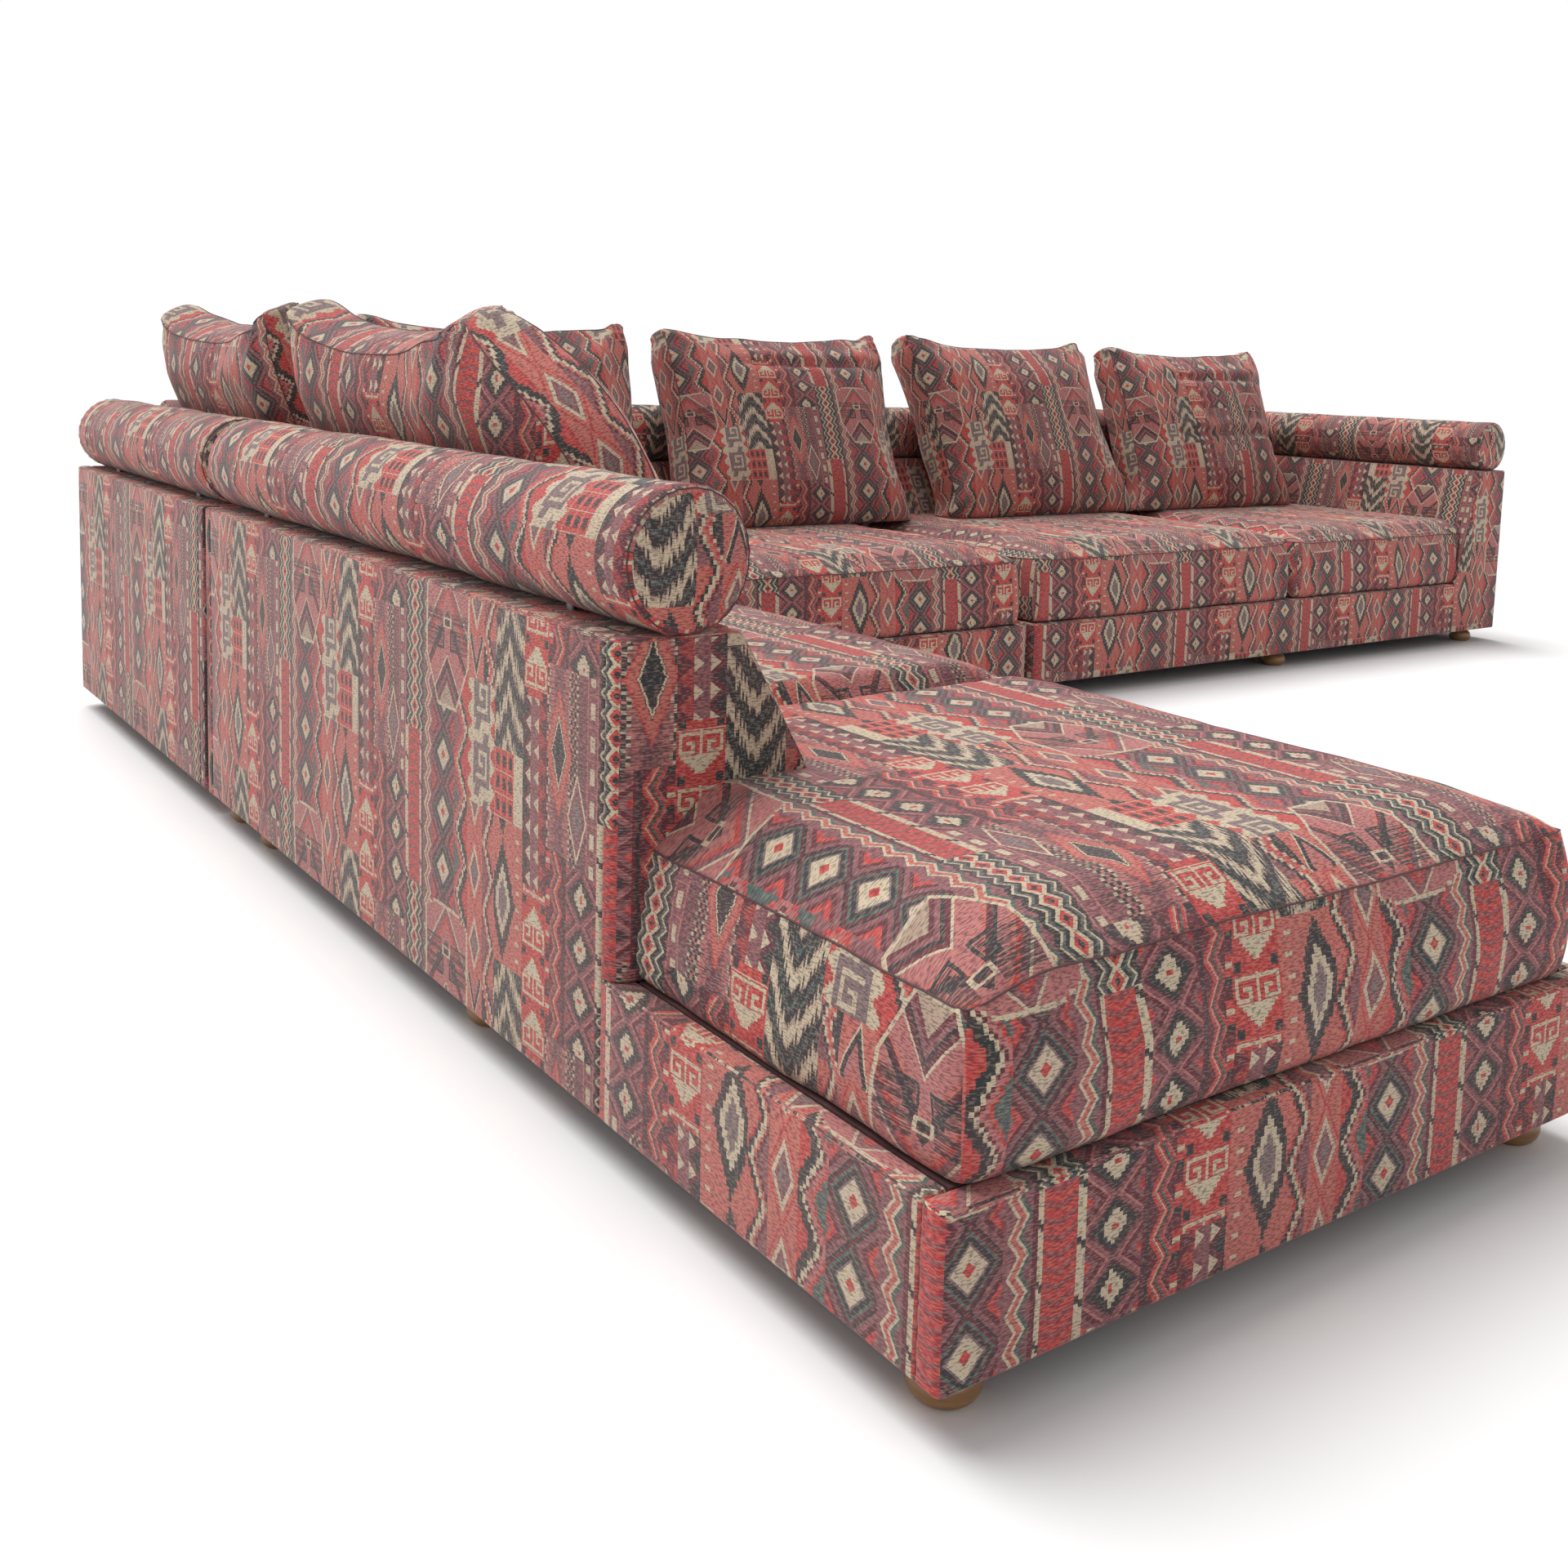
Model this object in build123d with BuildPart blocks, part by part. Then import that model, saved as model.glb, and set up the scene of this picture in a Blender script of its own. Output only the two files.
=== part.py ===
from build123d import *
import os
from math import asin, ceil, cos, radians, sin, sqrt

os.makedirs("parts", exist_ok=True)

# Modular corner sofa in kilim cloth: a chaise module, a corner module and a module with one arm.
# Millimetres, +Z up, +Y towards the long rear back, origin on the floor under the middle.

# Plan
sofa_width = 4147
sofa_length = 3083
left_run_width = 950
far_run_depth = 1048
corner_width = 2035
module_gap = 18
chaise_back_start = 520

# Heights above the floor
base_bottom = 44
base_height = 155
back_height = 361
seat_top = 400

# Upholstered walls
cover_thickness = 30
corner_radius = 26
plinth_corner_radius = 9
hem_radius = 6
frame_lift = 16
top_pad = 16
back_top_depth = 148
back_deck_depth = 355
arm_deck_depth = 250
shoulder_radius = 14

# Timber, webbing and cloth inside
rail_width = 60
post_depth = 40
post_width = 60
top_rail_height = 40
rail_pitch_limit = 400
deck_thickness = 20
webbing_thickness = 3
webbing_width = 60
webbing_pitch = 120
dust_cloth_thickness = 1.5

# Bolsters
bolster_diameter = 160
bolster_press = 3
bolster_dome = 12
bolster_rim = 8
bolster_joint_gap = 3
bolster_overhang = 15
dowel_diameter = 12
dowel_fit = 0.3
dowel_in_rail = 30
dowel_in_bolster = 45
dowel_end_distance = 200

# Feet
foot_inset = 58
corner_foot_inset = 110
foot_neck_radius = 20
foot_waist_radius = 17
foot_bulge_radius = 33
foot_floor_radius = 23
foot_bulge_share = 0.4
foot_waist_share = 0.82
chaise_middle_foot = 935
chaise_double_foot_distance = 175
right_middle_foot = 1030

# Module connectors
connector_plate_thickness = 3
connector_plate_width = 60
connector_hold_length = 55
connector_reach = 50
connector_fit = 0.4
connector_end_distance = 240
clip_slot_share = 0.5

# Soft cushions
rest_gap = 0.4
side_gap = 4
seat_rim_height = 165
seat_corner_radius = 40
seat_bulge = 14
seat_crown_inset = 130
seat_inset = 6
chaise_wrap_inset = 30
chaise_seat_split = 870
right_seat_share = 0.499
back_cushion_width = 780
back_cushion_height = 590
back_cushion_border = 100
back_cushion_crown = 50
back_cushion_crown_inset = 150
back_cushion_press = 6
back_cushion_sink = 21
back_cushion_taper = 18
back_cushion_ear_radius = 26
back_cushion_ear_growth_share = 0.25
back_cushion_sag = 24
back_cushion_draw_in = 10
back_cushion_lean = 22
channel_radius = 34
channel_depth = 7
channel_places_shares = (0.42, 0.7)
slump_width = 250
slump_bulge = -30
corner_left_cushion_middle = 435
left_cushion_spacing = 860
rear_cushion_middle_shares = (0.2247, 0.4292, 0.6482, 0.8421)

overrun = 20

# Edges of the modules
west = -sofa_width / 2
east = sofa_width / 2
south = -sofa_length / 2
north = sofa_length / 2
chaise_east = west + left_run_width
corner_south = north - far_run_depth
chaise_north = corner_south - module_gap
corner_east = west + corner_width
right_west = corner_east + module_gap
right_seat_split = (east - right_west) * right_seat_share
back_south = south + chaise_back_start

# Levels
deck_top = base_bottom + base_height
back_top = deck_top + back_height
frame_bottom = base_bottom + frame_lift
webbing_top = deck_top - deck_thickness
rail_top = webbing_top - webbing_thickness
frame_top = back_top - top_pad
cloth_bottom = frame_bottom - dust_cloth_thickness
post_front = cover_thickness + post_depth

# Bolster centre line, as a distance from the outer face and a height
bolster_radius = bolster_diameter / 2
bolster_height = back_top - bolster_press + bolster_radius
dowel_line = cover_thickness + post_depth / 2
eighth = radians(45)


def finish(piece, name):
    """Label one finished piece and write its file."""
    piece.part.label = name
    export_step(piece.part, f"parts/{name}.step")


# Planes across a run: local X is the distance inward from the outer face, local Y the height
def west_plane(y):
    """Across the left run; its extrusions go towards the near end."""
    return Plane(origin=(west, y, 0), x_dir=(1, 0, 0), z_dir=(0, -1, 0))


def north_plane(x):
    """Across the rear run; its extrusions go towards the left end."""
    return Plane(origin=(x, north, 0), x_dir=(0, -1, 0), z_dir=(-1, 0, 0))


def east_plane(y):
    """Across the arm; its extrusions go towards the rear."""
    return Plane(origin=(east, y, 0), x_dir=(-1, 0, 0), z_dir=(0, 1, 0))


def face_plane(plane, deck_depth):
    """The slanted inner face of a back or an arm, with its normal towards the seat."""
    slant = deck_depth - back_top_depth
    length = sqrt(slant**2 + back_height**2)
    normal = plane.x_dir * (back_height / length) + Vector(0, 0, slant / length)
    origin = plane.origin + plane.x_dir * deck_depth + Vector(0, 0, deck_top)
    return Plane(origin=origin, z_dir=normal)


# Plain blocks
def block(name, low, high, rounded=None, hem=None, wings=()):
    """A block between two corners, with optional rounded edges, hem edges and wings in plan."""
    with BuildPart() as piece:
        with BuildSketch(Plane.XY.offset(low[2])):
            for start, end in ((low, high), *wings):
                with Locations(((start[0] + end[0]) / 2, (start[1] + end[1]) / 2)):
                    Rectangle(end[0] - start[0], end[1] - start[1])
        extrude(amount=high[2] - low[2])
        if rounded:
            upright = [e for e in piece.edges().filter_by(Axis.Z) if rounded(e.center())]
            fillet(upright, plinth_corner_radius)
        if hem:
            fillet([e for e in piece.faces().sort_by(Axis.Z)[0].edges() if hem(e.center())], hem_radius)
    finish(piece, name)


def near(a, b):
    """True where two places are the same but for rounding."""
    return abs(a - b) < cover_thickness / 2


# Upholstered panels
def outer_panel(name, low, high, corner=None, side="west"):
    """The upright cloth-covered outer wall of a back or an arm."""
    outer = {"west": (0, west), "east": (0, east), "north": (1, north)}[side]
    with BuildPart() as piece:
        with BuildSketch(Plane.XY.offset(base_bottom)):
            with Locations(((low[0] + high[0]) / 2, (low[1] + high[1]) / 2)):
                Rectangle(high[0] - low[0], high[1] - low[1])
        extrude(amount=back_top - base_bottom)
        if corner:
            upright = [e for e in piece.edges().filter_by(Axis.Z) if near(e.center().X, corner[0])
                       and near(e.center().Y, corner[1])]
            fillet(upright, corner_radius)
        run = Axis.X if side == "north" else Axis.Y
        edges = piece.edges().filter_by(run)
        on_face = [e for e in edges if near((e.center().X, e.center().Y)[outer[0]], outer[1])]
        if corner is None:
            fillet(on_face, hem_radius)
    finish(piece, name)


def end_panel(name, plane, deck_depth, low, width, notches=(), rounded=()):
    """An upright end wall that shows the section of the seat base and its back."""
    with BuildPart() as piece:
        with BuildSketch(plane):
            with BuildLine():
                Polyline((0, low), (0, back_top), (back_top_depth, back_top), (deck_depth, deck_top),
                         (width, deck_top), (width, low), close=True)
            make_face()
        extrude(amount=cover_thickness)
        shoulder = [e for e in piece.edges().filter_by(Axis((0, 0, 0), tuple(plane.z_dir)))
                    if near((e.center() - plane.origin).dot(plane.x_dir), back_top_depth)
                    and near(e.center().Z, back_top)]
        fillet(shoulder, shoulder_radius)
        for x, y in rounded:
            upright = [e for e in piece.edges().filter_by(Axis.Z)
                       if near(e.center().X, x) and near(e.center().Y, y)]
            fillet(upright, corner_radius)
        for x, y in notches:
            notch_side = connector_plate_width + cover_thickness
            with BuildSketch(Plane.XY.offset(base_bottom - overrun)):
                with Locations((x, y)):
                    Rectangle(notch_side, notch_side)
            extrude(amount=cloth_bottom - base_bottom + overrun, mode=Mode.SUBTRACT)
    finish(piece, name)


def back_end_panel(name, plane):
    """The upright wall that closes the free end of a back, above the base."""
    with BuildPart() as piece:
        with BuildSketch(plane):
            with BuildLine():
                Polyline((0, deck_top), (0, back_top), (back_top_depth, back_top),
                         (back_deck_depth, deck_top), close=True)
            make_face()
        extrude(amount=cover_thickness)
        shoulder = piece.edges().filter_by(Axis.Y).filter_by(
            lambda e: near(e.center().X, west + back_top_depth) and near(e.center().Z, back_top))
        fillet(shoulder, shoulder_radius)
        corner = piece.edges().filter_by(Axis.Z).filter_by(lambda e: near(e.center().Y, back_south))
        fillet(corner, corner_radius)
    finish(piece, name)


# Timber, webbing and cloth
def spaced(start, end, width, limit):
    """Centres of equal pieces of one width, from start to end, no further apart than limit."""
    first = start + width / 2
    last = end - width / 2
    count = ceil((last - first) / limit)
    return [first + (last - first) * i / count for i in range(count + 1)]


def base_frame(name, low, high, long_axis):
    """Two long timber rails and the cross rails between them, laid out as a ladder."""
    height = rail_top - frame_bottom
    across = 1 - long_axis
    with BuildPart() as piece:
        with BuildSketch(Plane.XY.offset(frame_bottom)):
            for place in (low[across] + rail_width / 2, high[across] - rail_width / 2):
                centre = [(low[0] + high[0]) / 2, (low[1] + high[1]) / 2]
                centre[across] = place
                size = [high[0] - low[0], high[1] - low[1]]
                size[across] = rail_width
                with Locations(tuple(centre)):
                    Rectangle(*size)
        extrude(amount=height)
        with BuildSketch(Plane.XY.offset(frame_bottom)):
            for place in spaced(low[long_axis], high[long_axis], rail_width, rail_pitch_limit):
                centre = [(low[0] + high[0]) / 2, (low[1] + high[1]) / 2]
                centre[long_axis] = place
                size = [high[0] - low[0] - 2 * rail_width, high[1] - low[1] - 2 * rail_width]
                size[long_axis] = rail_width
                with Locations(tuple(centre)):
                    Rectangle(*size)
        extrude(amount=height)
    finish(piece, name)


def webbing(name, low, high, long_axis):
    """Flat elastic straps across the ladder frame, under the seat deck."""
    across = 1 - long_axis
    with BuildPart() as piece:
        with BuildSketch(Plane.XY.offset(rail_top)):
            for place in spaced(low[long_axis], high[long_axis], webbing_width, webbing_pitch):
                centre = [(low[0] + high[0]) / 2, (low[1] + high[1]) / 2]
                centre[long_axis] = place
                size = [webbing_width, webbing_width]
                size[across] = high[across] - low[across]
                with Locations(tuple(centre)):
                    Rectangle(*size)
        extrude(amount=webbing_thickness)
    finish(piece, name)


def back_frame(name, walls):
    """Posts under a top rail, for each wall of a module: a plane, its start and its length."""
    with BuildPart() as piece:
        for plane, length, dowels in walls:
            with BuildSketch(plane):
                with Locations((cover_thickness + post_depth / 2, frame_top - top_rail_height / 2)):
                    Rectangle(post_depth, top_rail_height)
            extrude(amount=length)
            for along in spaced(0, length, post_width, rail_pitch_limit):
                with BuildSketch(plane.offset(along - post_width / 2)):
                    with Locations((cover_thickness + post_depth / 2,
                                    (rail_top + frame_top - top_rail_height) / 2)):
                        Rectangle(post_depth, frame_top - top_rail_height - rail_top)
                extrude(amount=post_width)
            with BuildSketch(Plane.XY.offset(frame_top)):
                with Locations(dowels):
                    Circle(dowel_diameter / 2 + dowel_fit)
            extrude(amount=-dowel_in_rail, mode=Mode.SUBTRACT)
    finish(piece, name)


# Foam and cloth of the backs
def back_wedge(name, plane, length, deck_depth, dowels, trims=(), cleared=()):
    """The sloping foam body of a back or an arm, which wraps over its top rail."""
    with BuildPart() as piece:
        with BuildSketch(plane) as section:
            with BuildLine():
                Polyline((post_front, deck_top), (deck_depth, deck_top), (back_top_depth, back_top),
                         (cover_thickness, back_top), (cover_thickness, frame_top),
                         (post_front, frame_top), close=True)
            make_face()
            shoulder = section.vertices().sort_by_distance(plane.from_local_coords(
                (back_top_depth, back_top, 0)))[0]
            fillet(shoulder, shoulder_radius)
        extrude(amount=length)
        for trim in trims:
            split(bisect_by=trim, keep=Keep.TOP)
        for low, high in cleared:
            with BuildSketch(Plane.XY.offset(deck_top - overrun)):
                with Locations(((low[0] + high[0]) / 2, (low[1] + high[1]) / 2)):
                    Rectangle(high[0] - low[0], high[1] - low[1])
            extrude(amount=frame_top - deck_top + overrun, mode=Mode.SUBTRACT)
        with BuildSketch(Plane.XY.offset(back_top)):
            with Locations(dowels):
                Circle(dowel_diameter / 2 + dowel_fit)
        extrude(amount=-top_pad, mode=Mode.SUBTRACT)
    finish(piece, name)


def bolster(name, plane, length, dowels):
    """A round bolster with softly domed ends, pressed flat where it lies on the back."""
    centre = plane.origin + plane.x_dir * bolster_radius + Vector(0, 0, bolster_height)
    lengthways = Plane(origin=centre, x_dir=(0, 0, 1), z_dir=plane.z_dir.cross(Vector(0, 0, 1)))
    rim = bolster_radius - bolster_rim
    dome_radius = (rim**2 + bolster_dome**2) / (2 * bolster_dome)
    half_turn = asin(rim / dome_radius) / 2
    dome_middle = (dome_radius * sin(half_turn), dome_radius * (1 - cos(half_turn)))
    rim_middle = (rim + bolster_rim * sin(eighth), bolster_dome + bolster_rim * (1 - cos(eighth)))
    side = bolster_dome + bolster_rim
    with BuildPart() as piece:
        with BuildSketch(lengthways):
            with BuildLine():
                Line((0, 0), (0, -length))
                ThreePointArc((0, -length), (dome_middle[0], dome_middle[1] - length),
                              (rim, bolster_dome - length))
                ThreePointArc((rim, bolster_dome - length), (rim_middle[0], rim_middle[1] - length),
                              (bolster_radius, side - length))
                Line((bolster_radius, side - length), (bolster_radius, -side))
                ThreePointArc((bolster_radius, -side), (rim_middle[0], -rim_middle[1]),
                              (rim, -bolster_dome))
                ThreePointArc((rim, -bolster_dome), (dome_middle[0], -dome_middle[1]), (0, 0))
            make_face()
        revolve(axis=Axis(tuple(centre), tuple(plane.z_dir)), revolution_arc=360)
        split(bisect_by=Plane.XY.offset(back_top), keep=Keep.TOP)
        with BuildSketch(Plane.XY.offset(back_top - overrun)):
            with Locations(dowels):
                Circle(dowel_diameter / 2 + dowel_fit)
        extrude(amount=dowel_in_bolster + overrun, mode=Mode.SUBTRACT)
    finish(piece, name)


def bolster_dowels(name, places):
    """Steel dowels that hold the bolsters on the top rails."""
    with BuildPart() as piece:
        with BuildSketch(Plane.XY.offset(frame_top - dowel_in_rail)):
            with Locations(places):
                Circle(dowel_diameter / 2)
        extrude(amount=dowel_in_rail + top_pad + dowel_in_bolster)
    finish(piece, name)


# Feet and connectors
def feet(name, places):
    """Turned wooden bun feet, screwed up under the rails."""
    bulge_height = base_bottom * foot_bulge_share
    waist_height = base_bottom * foot_waist_share
    with BuildPart() as piece:
        for place in places:
            with BuildSketch(Plane(origin=(place[0], place[1], 0), x_dir=(1, 0, 0), z_dir=(0, -1, 0))):
                with BuildLine():
                    Line((0, 0), (foot_floor_radius, 0))
                    ThreePointArc((foot_floor_radius, 0), (foot_bulge_radius, bulge_height),
                                  (foot_waist_radius, waist_height))
                    Polyline((foot_waist_radius, waist_height), (foot_neck_radius, base_bottom),
                             (foot_neck_radius, cloth_bottom), (0, cloth_bottom), (0, 0))
                make_face()
            revolve(axis=Axis((place[0], place[1], 0), (0, 0, 1)), revolution_arc=360)
    finish(piece, name)


def connector_frame(place, outward):
    """A plane under the rails at a module's joint face, with local X out through the face."""
    return Plane(origin=(place[0], place[1], cloth_bottom), x_dir=outward, z_dir=(0, 0, 1))


clip_height = 3 * connector_plate_thickness + 2 * connector_fit


def connector_plates(name, places, outward):
    """Steel plates under a module, each with a tongue that reaches under its neighbour."""
    with BuildPart() as piece:
        for place in places:
            under = connector_frame(place, outward)
            with BuildSketch(under):
                with Locations((-connector_hold_length / 2, 0)):
                    Rectangle(connector_hold_length, connector_plate_width)
            extrude(amount=-2 * connector_plate_thickness - connector_fit)
            with BuildSketch(under.offset(-connector_plate_thickness - connector_fit)):
                with Locations((connector_reach / 2, 0)):
                    Rectangle(connector_reach, connector_plate_width)
            extrude(amount=-connector_plate_thickness)
    finish(piece, name)


def connector_clips(name, groups):
    """Steel channels under the corner module that the neighbours' tongues slide into."""
    inner = connector_plate_width + 2 * connector_fit
    outer = inner + 2 * connector_plate_thickness
    with BuildPart() as piece:
        for places, outward in groups:
            for place in places:
                under = connector_frame(place, outward)
                with BuildSketch(under):
                    with Locations((-connector_hold_length / 2, 0)):
                        Rectangle(connector_hold_length, outer)
                extrude(amount=-clip_height)
                with BuildSketch(under.offset(-connector_plate_thickness)):
                    with Locations((-connector_hold_length / 2, 0)):
                        Rectangle(connector_hold_length, inner)
                extrude(amount=-connector_plate_thickness - 2 * connector_fit, mode=Mode.SUBTRACT)
                with BuildSketch(under.offset(-connector_plate_thickness - 2 * connector_fit)):
                    with Locations((-connector_hold_length / 2, 0)):
                        Rectangle(connector_hold_length, inner * clip_slot_share)
                extrude(amount=-clip_height, mode=Mode.SUBTRACT)
    finish(piece, name)


# Seat cushions
seat_thickness = seat_top - deck_top - rest_gap
crown_height = seat_thickness - seat_rim_height
seat_level_shares = (0, 0.1, 0.32, 0.6, 0.82, 1)
seat_inset_shares = (1.6, 0.5, 0, 0, 0.4, 1.4)
crown_level_shares = (0.42, 0.72, 0.92, 1)
crown_inset_shares = (0.22, 0.48, 0.76, 1)


def seat_levels():
    """Height above the deck and inset of each outline of a seat cushion."""
    rim = [(seat_rim_height * level, seat_bulge * inset)
           for level, inset in zip(seat_level_shares, seat_inset_shares)]
    edge = rim[-1][1]
    crown = [(seat_rim_height + crown_height * level, edge + seat_crown_inset * inset)
             for level, inset in zip(crown_level_shares, crown_inset_shares)]
    return rim + crown


def seat_cushion(name, low, high, backs):
    """A boxed seat cushion with bulging sides and a crown, pressed against the backs beside it."""
    with BuildPart() as piece:
        for level, inset in seat_levels():
            with BuildSketch(Plane.XY.offset(deck_top + rest_gap + level)):
                with Locations(((low[0] + high[0]) / 2, (low[1] + high[1]) / 2)):
                    RectangleRounded(high[0] - low[0] - 2 * inset, high[1] - low[1] - 2 * inset,
                                     seat_corner_radius)
        loft(ruled=True)
        for plane, length, deck_depth in backs:
            with BuildSketch(plane):
                with BuildLine():
                    Polyline((-overrun, deck_top), (deck_depth + side_gap, deck_top),
                             (back_top_depth + side_gap, back_top), (-overrun, back_top), close=True)
                make_face()
            extrude(amount=length, mode=Mode.SUBTRACT)
    finish(piece, name)


# Back cushions
lean = radians(back_cushion_lean)
back_cushion_depth = back_cushion_border + 2 * back_cushion_crown
middle_reach = bolster_radius + rest_gap + back_cushion_depth / 2 - back_cushion_press
middle_height = bolster_height + middle_reach * sin(lean)
bottom_drop = (middle_height - seat_top + back_cushion_sink) / cos(lean)
cushion_depth_shares = (0.14, 0.5, 0.66, 0.82, 0.94, 1)
cushion_inset_shares = (0, 0.02, 0.17, 0.42, 0.72, 1)


def cushion_levels():
    """Depth from the middle plane and inset of each outline of a back cushion."""
    front = [(back_cushion_depth / 2 * depth, back_cushion_crown_inset * inset)
             for depth, inset in zip(cushion_depth_shares, cushion_inset_shares)]
    return [(-depth, inset) for depth, inset in reversed(front)] + front


def cushion_plane(across, along):
    """Middle plane of a leaning back cushion: local X along the run, local Y up the cushion."""
    inward = across.x_dir
    forward = inward * cos(lean) + Vector(0, 0, sin(lean))
    upward = inward * -sin(lean) + Vector(0, 0, cos(lean))
    line = across.origin + inward * bolster_radius + Vector(0, 0, bolster_height)
    origin = line + forward * middle_reach + along
    return Plane(origin=origin, x_dir=upward.cross(forward), z_dir=forward)


def cushion_corners(inset, left, right):
    """The four corners of a back cushion's outline, drawn in all round by an inset."""
    low = -bottom_drop + inset
    high = back_cushion_height - bottom_drop - inset
    return ((left[0] + inset, low), (right[0] - inset, low), (right[1] - inset, high),
            (left[1] + inset, high))


def halfway(start, end, across=0, up=0):
    """The point halfway between two others, shifted by two lengths."""
    return ((start[0] + end[0]) / 2 + across, (start[1] + end[1]) / 2 + up)


def back_cushion(name, across, along, left, right, draw_in, channel_shares=(), backs=()):
    """A loose back cushion, leaning on the bolster and pressed flat on the seat."""
    middle = cushion_plane(across, along)
    half = back_cushion_depth / 2
    lean_cut = Plane(origin=middle.origin - middle.z_dir * (half - back_cushion_press),
                     z_dir=middle.z_dir)
    with BuildPart() as piece:
        for depth, inset in cushion_levels():
            corners = cushion_corners(inset, left, right)
            low_left, low_right, high_right, high_left = corners
            with BuildSketch(middle.offset(depth)) as outline:
                with BuildLine():
                    Line(low_left, low_right)
                    ThreePointArc(low_right, halfway(low_right, high_right, -draw_in[1]), high_right)
                    ThreePointArc(high_right, halfway(high_right, high_left, 0, -back_cushion_sag),
                                  high_left)
                    ThreePointArc(high_left, halfway(high_left, low_left, draw_in[0]), low_left)
                make_face()
                ear = back_cushion_ear_radius + inset * back_cushion_ear_growth_share
                fillet(outline.vertices(), ear)
        loft(ruled=True)
        split(bisect_by=lean_cut, keep=Keep.TOP)
        split(bisect_by=Plane.XY.offset(seat_top + rest_gap), keep=Keep.TOP)
        for side in (across, *backs):
            split(bisect_by=face_plane(side, back_deck_depth).offset(rest_gap), keep=Keep.TOP)
        for share in channel_shares:
            height = share * back_cushion_height - bottom_drop
            axis_depth = half - channel_depth + channel_radius
            with BuildSketch(Plane(origin=middle.origin + middle.x_dir * (left[0] - overrun),
                                   x_dir=middle.y_dir, z_dir=middle.x_dir)):
                with Locations((height, axis_depth)):
                    Circle(channel_radius)
            extrude(amount=right[0] - left[0] + 2 * overrun, mode=Mode.SUBTRACT)
    finish(piece, name)


# Dowel places
def west_dowels(start, end):
    """Dowels on the left run, near both ends of a bolster."""
    x = west + dowel_line
    return [(x, start + dowel_end_distance), (x, end - dowel_end_distance)]


def north_dowels(start, end):
    """Dowels on the rear run, near both ends of a bolster."""
    y = north - dowel_line
    return [(start + dowel_end_distance, y), (end - dowel_end_distance, y)]


def east_dowels(start, end):
    """Dowels on the arm, near both ends of its bolster."""
    x = east - dowel_line
    return [(x, start + dowel_end_distance), (x, end - dowel_end_distance)]


wall = cover_thickness

# Chaise module
chaise_low = (west + wall, south + wall)
chaise_high = (chaise_east - wall, chaise_north - wall)
chaise_dowels = west_dowels(back_south, chaise_north)
chaise_back_length = chaise_north - back_south - 2 * wall
chaise_joints = [(chaise_east - connector_end_distance, chaise_north),
                 (west + connector_end_distance, chaise_north)]

block("chaise_near_panel", (west, south, base_bottom), (chaise_east, south + wall, deck_top),
      rounded=lambda c: near(c.Y, south), hem=lambda c: near(c.Y, south))
block("chaise_inner_panel", (chaise_high[0], chaise_low[1], base_bottom),
      (chaise_east, chaise_high[1], deck_top), hem=lambda c: near(c.X, chaise_east))
block("chaise_low_side_panel", (west, chaise_low[1], base_bottom),
      (chaise_low[0], back_south + wall, deck_top), hem=lambda c: near(c.X, west))
outer_panel("chaise_outer_panel", (west, back_south + wall), (chaise_low[0], chaise_high[1]))
back_end_panel("chaise_back_end_panel", west_plane(back_south + wall))
end_panel("chaise_joint_panel", west_plane(chaise_north), back_deck_depth, base_bottom,
          left_run_width, notches=chaise_joints)
base_frame("chaise_base_frame", chaise_low, chaise_high, 1)
webbing("chaise_webbing", (west + post_front, chaise_low[1]), chaise_high, 1)
block("chaise_seat_deck", (west + post_front, chaise_low[1], webbing_top),
      (chaise_high[0], chaise_high[1], deck_top),
      wings=[(chaise_low, (west + post_front, back_south))])
block("chaise_dust_cloth", (chaise_low[0], chaise_low[1], cloth_bottom),
      (chaise_high[0], chaise_high[1], frame_bottom))
back_frame("chaise_back_frame", [(west_plane(chaise_high[1]), chaise_back_length, chaise_dowels)])
back_wedge("chaise_back_wedge", west_plane(chaise_high[1]), chaise_back_length, back_deck_depth,
           chaise_dowels)
bolster("chaise_bolster", west_plane(chaise_north), chaise_north - back_south + bolster_overhang,
        chaise_dowels)
bolster_dowels("chaise_bolster_dowels", chaise_dowels)
feet("chaise_feet", [
    (west + foot_inset, south + foot_inset),
    (chaise_east - foot_inset, south + foot_inset),
    (west + foot_inset, south + chaise_middle_foot),
    (chaise_east - foot_inset, south + chaise_middle_foot),
    (west + foot_inset, chaise_north - foot_inset - chaise_double_foot_distance),
    (west + foot_inset, chaise_north - foot_inset),
    (chaise_east - foot_inset, chaise_north - foot_inset),
])
connector_plates("chaise_connector_plates", chaise_joints, (0, 1, 0))

chaise_backs = [(west_plane(chaise_north + overrun), chaise_north - back_south + overrun + side_gap,
                 back_deck_depth)]
seat_cushion("near_seat_cushion", (west + chaise_wrap_inset, south + seat_inset),
             (chaise_east - chaise_wrap_inset, south + chaise_seat_split - side_gap / 2), chaise_backs)
seat_cushion("middle_seat_cushion", (west + back_top_depth, south + chaise_seat_split + side_gap / 2),
             (chaise_east - chaise_wrap_inset, chaise_north), chaise_backs)

# Corner module
corner_low = (west + wall, corner_south + wall)
corner_high = (corner_east - wall, north - wall)
left_dowels = west_dowels(corner_south, north)
rear_start = west + bolster_diameter + bolster_joint_gap
rear_dowels = north_dowels(rear_start, corner_east)
corner_joints = [(x, corner_south) for x, y in chaise_joints]
right_joint_places = [(corner_east, corner_south + connector_end_distance),
                      (corner_east, north - connector_end_distance)]

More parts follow.
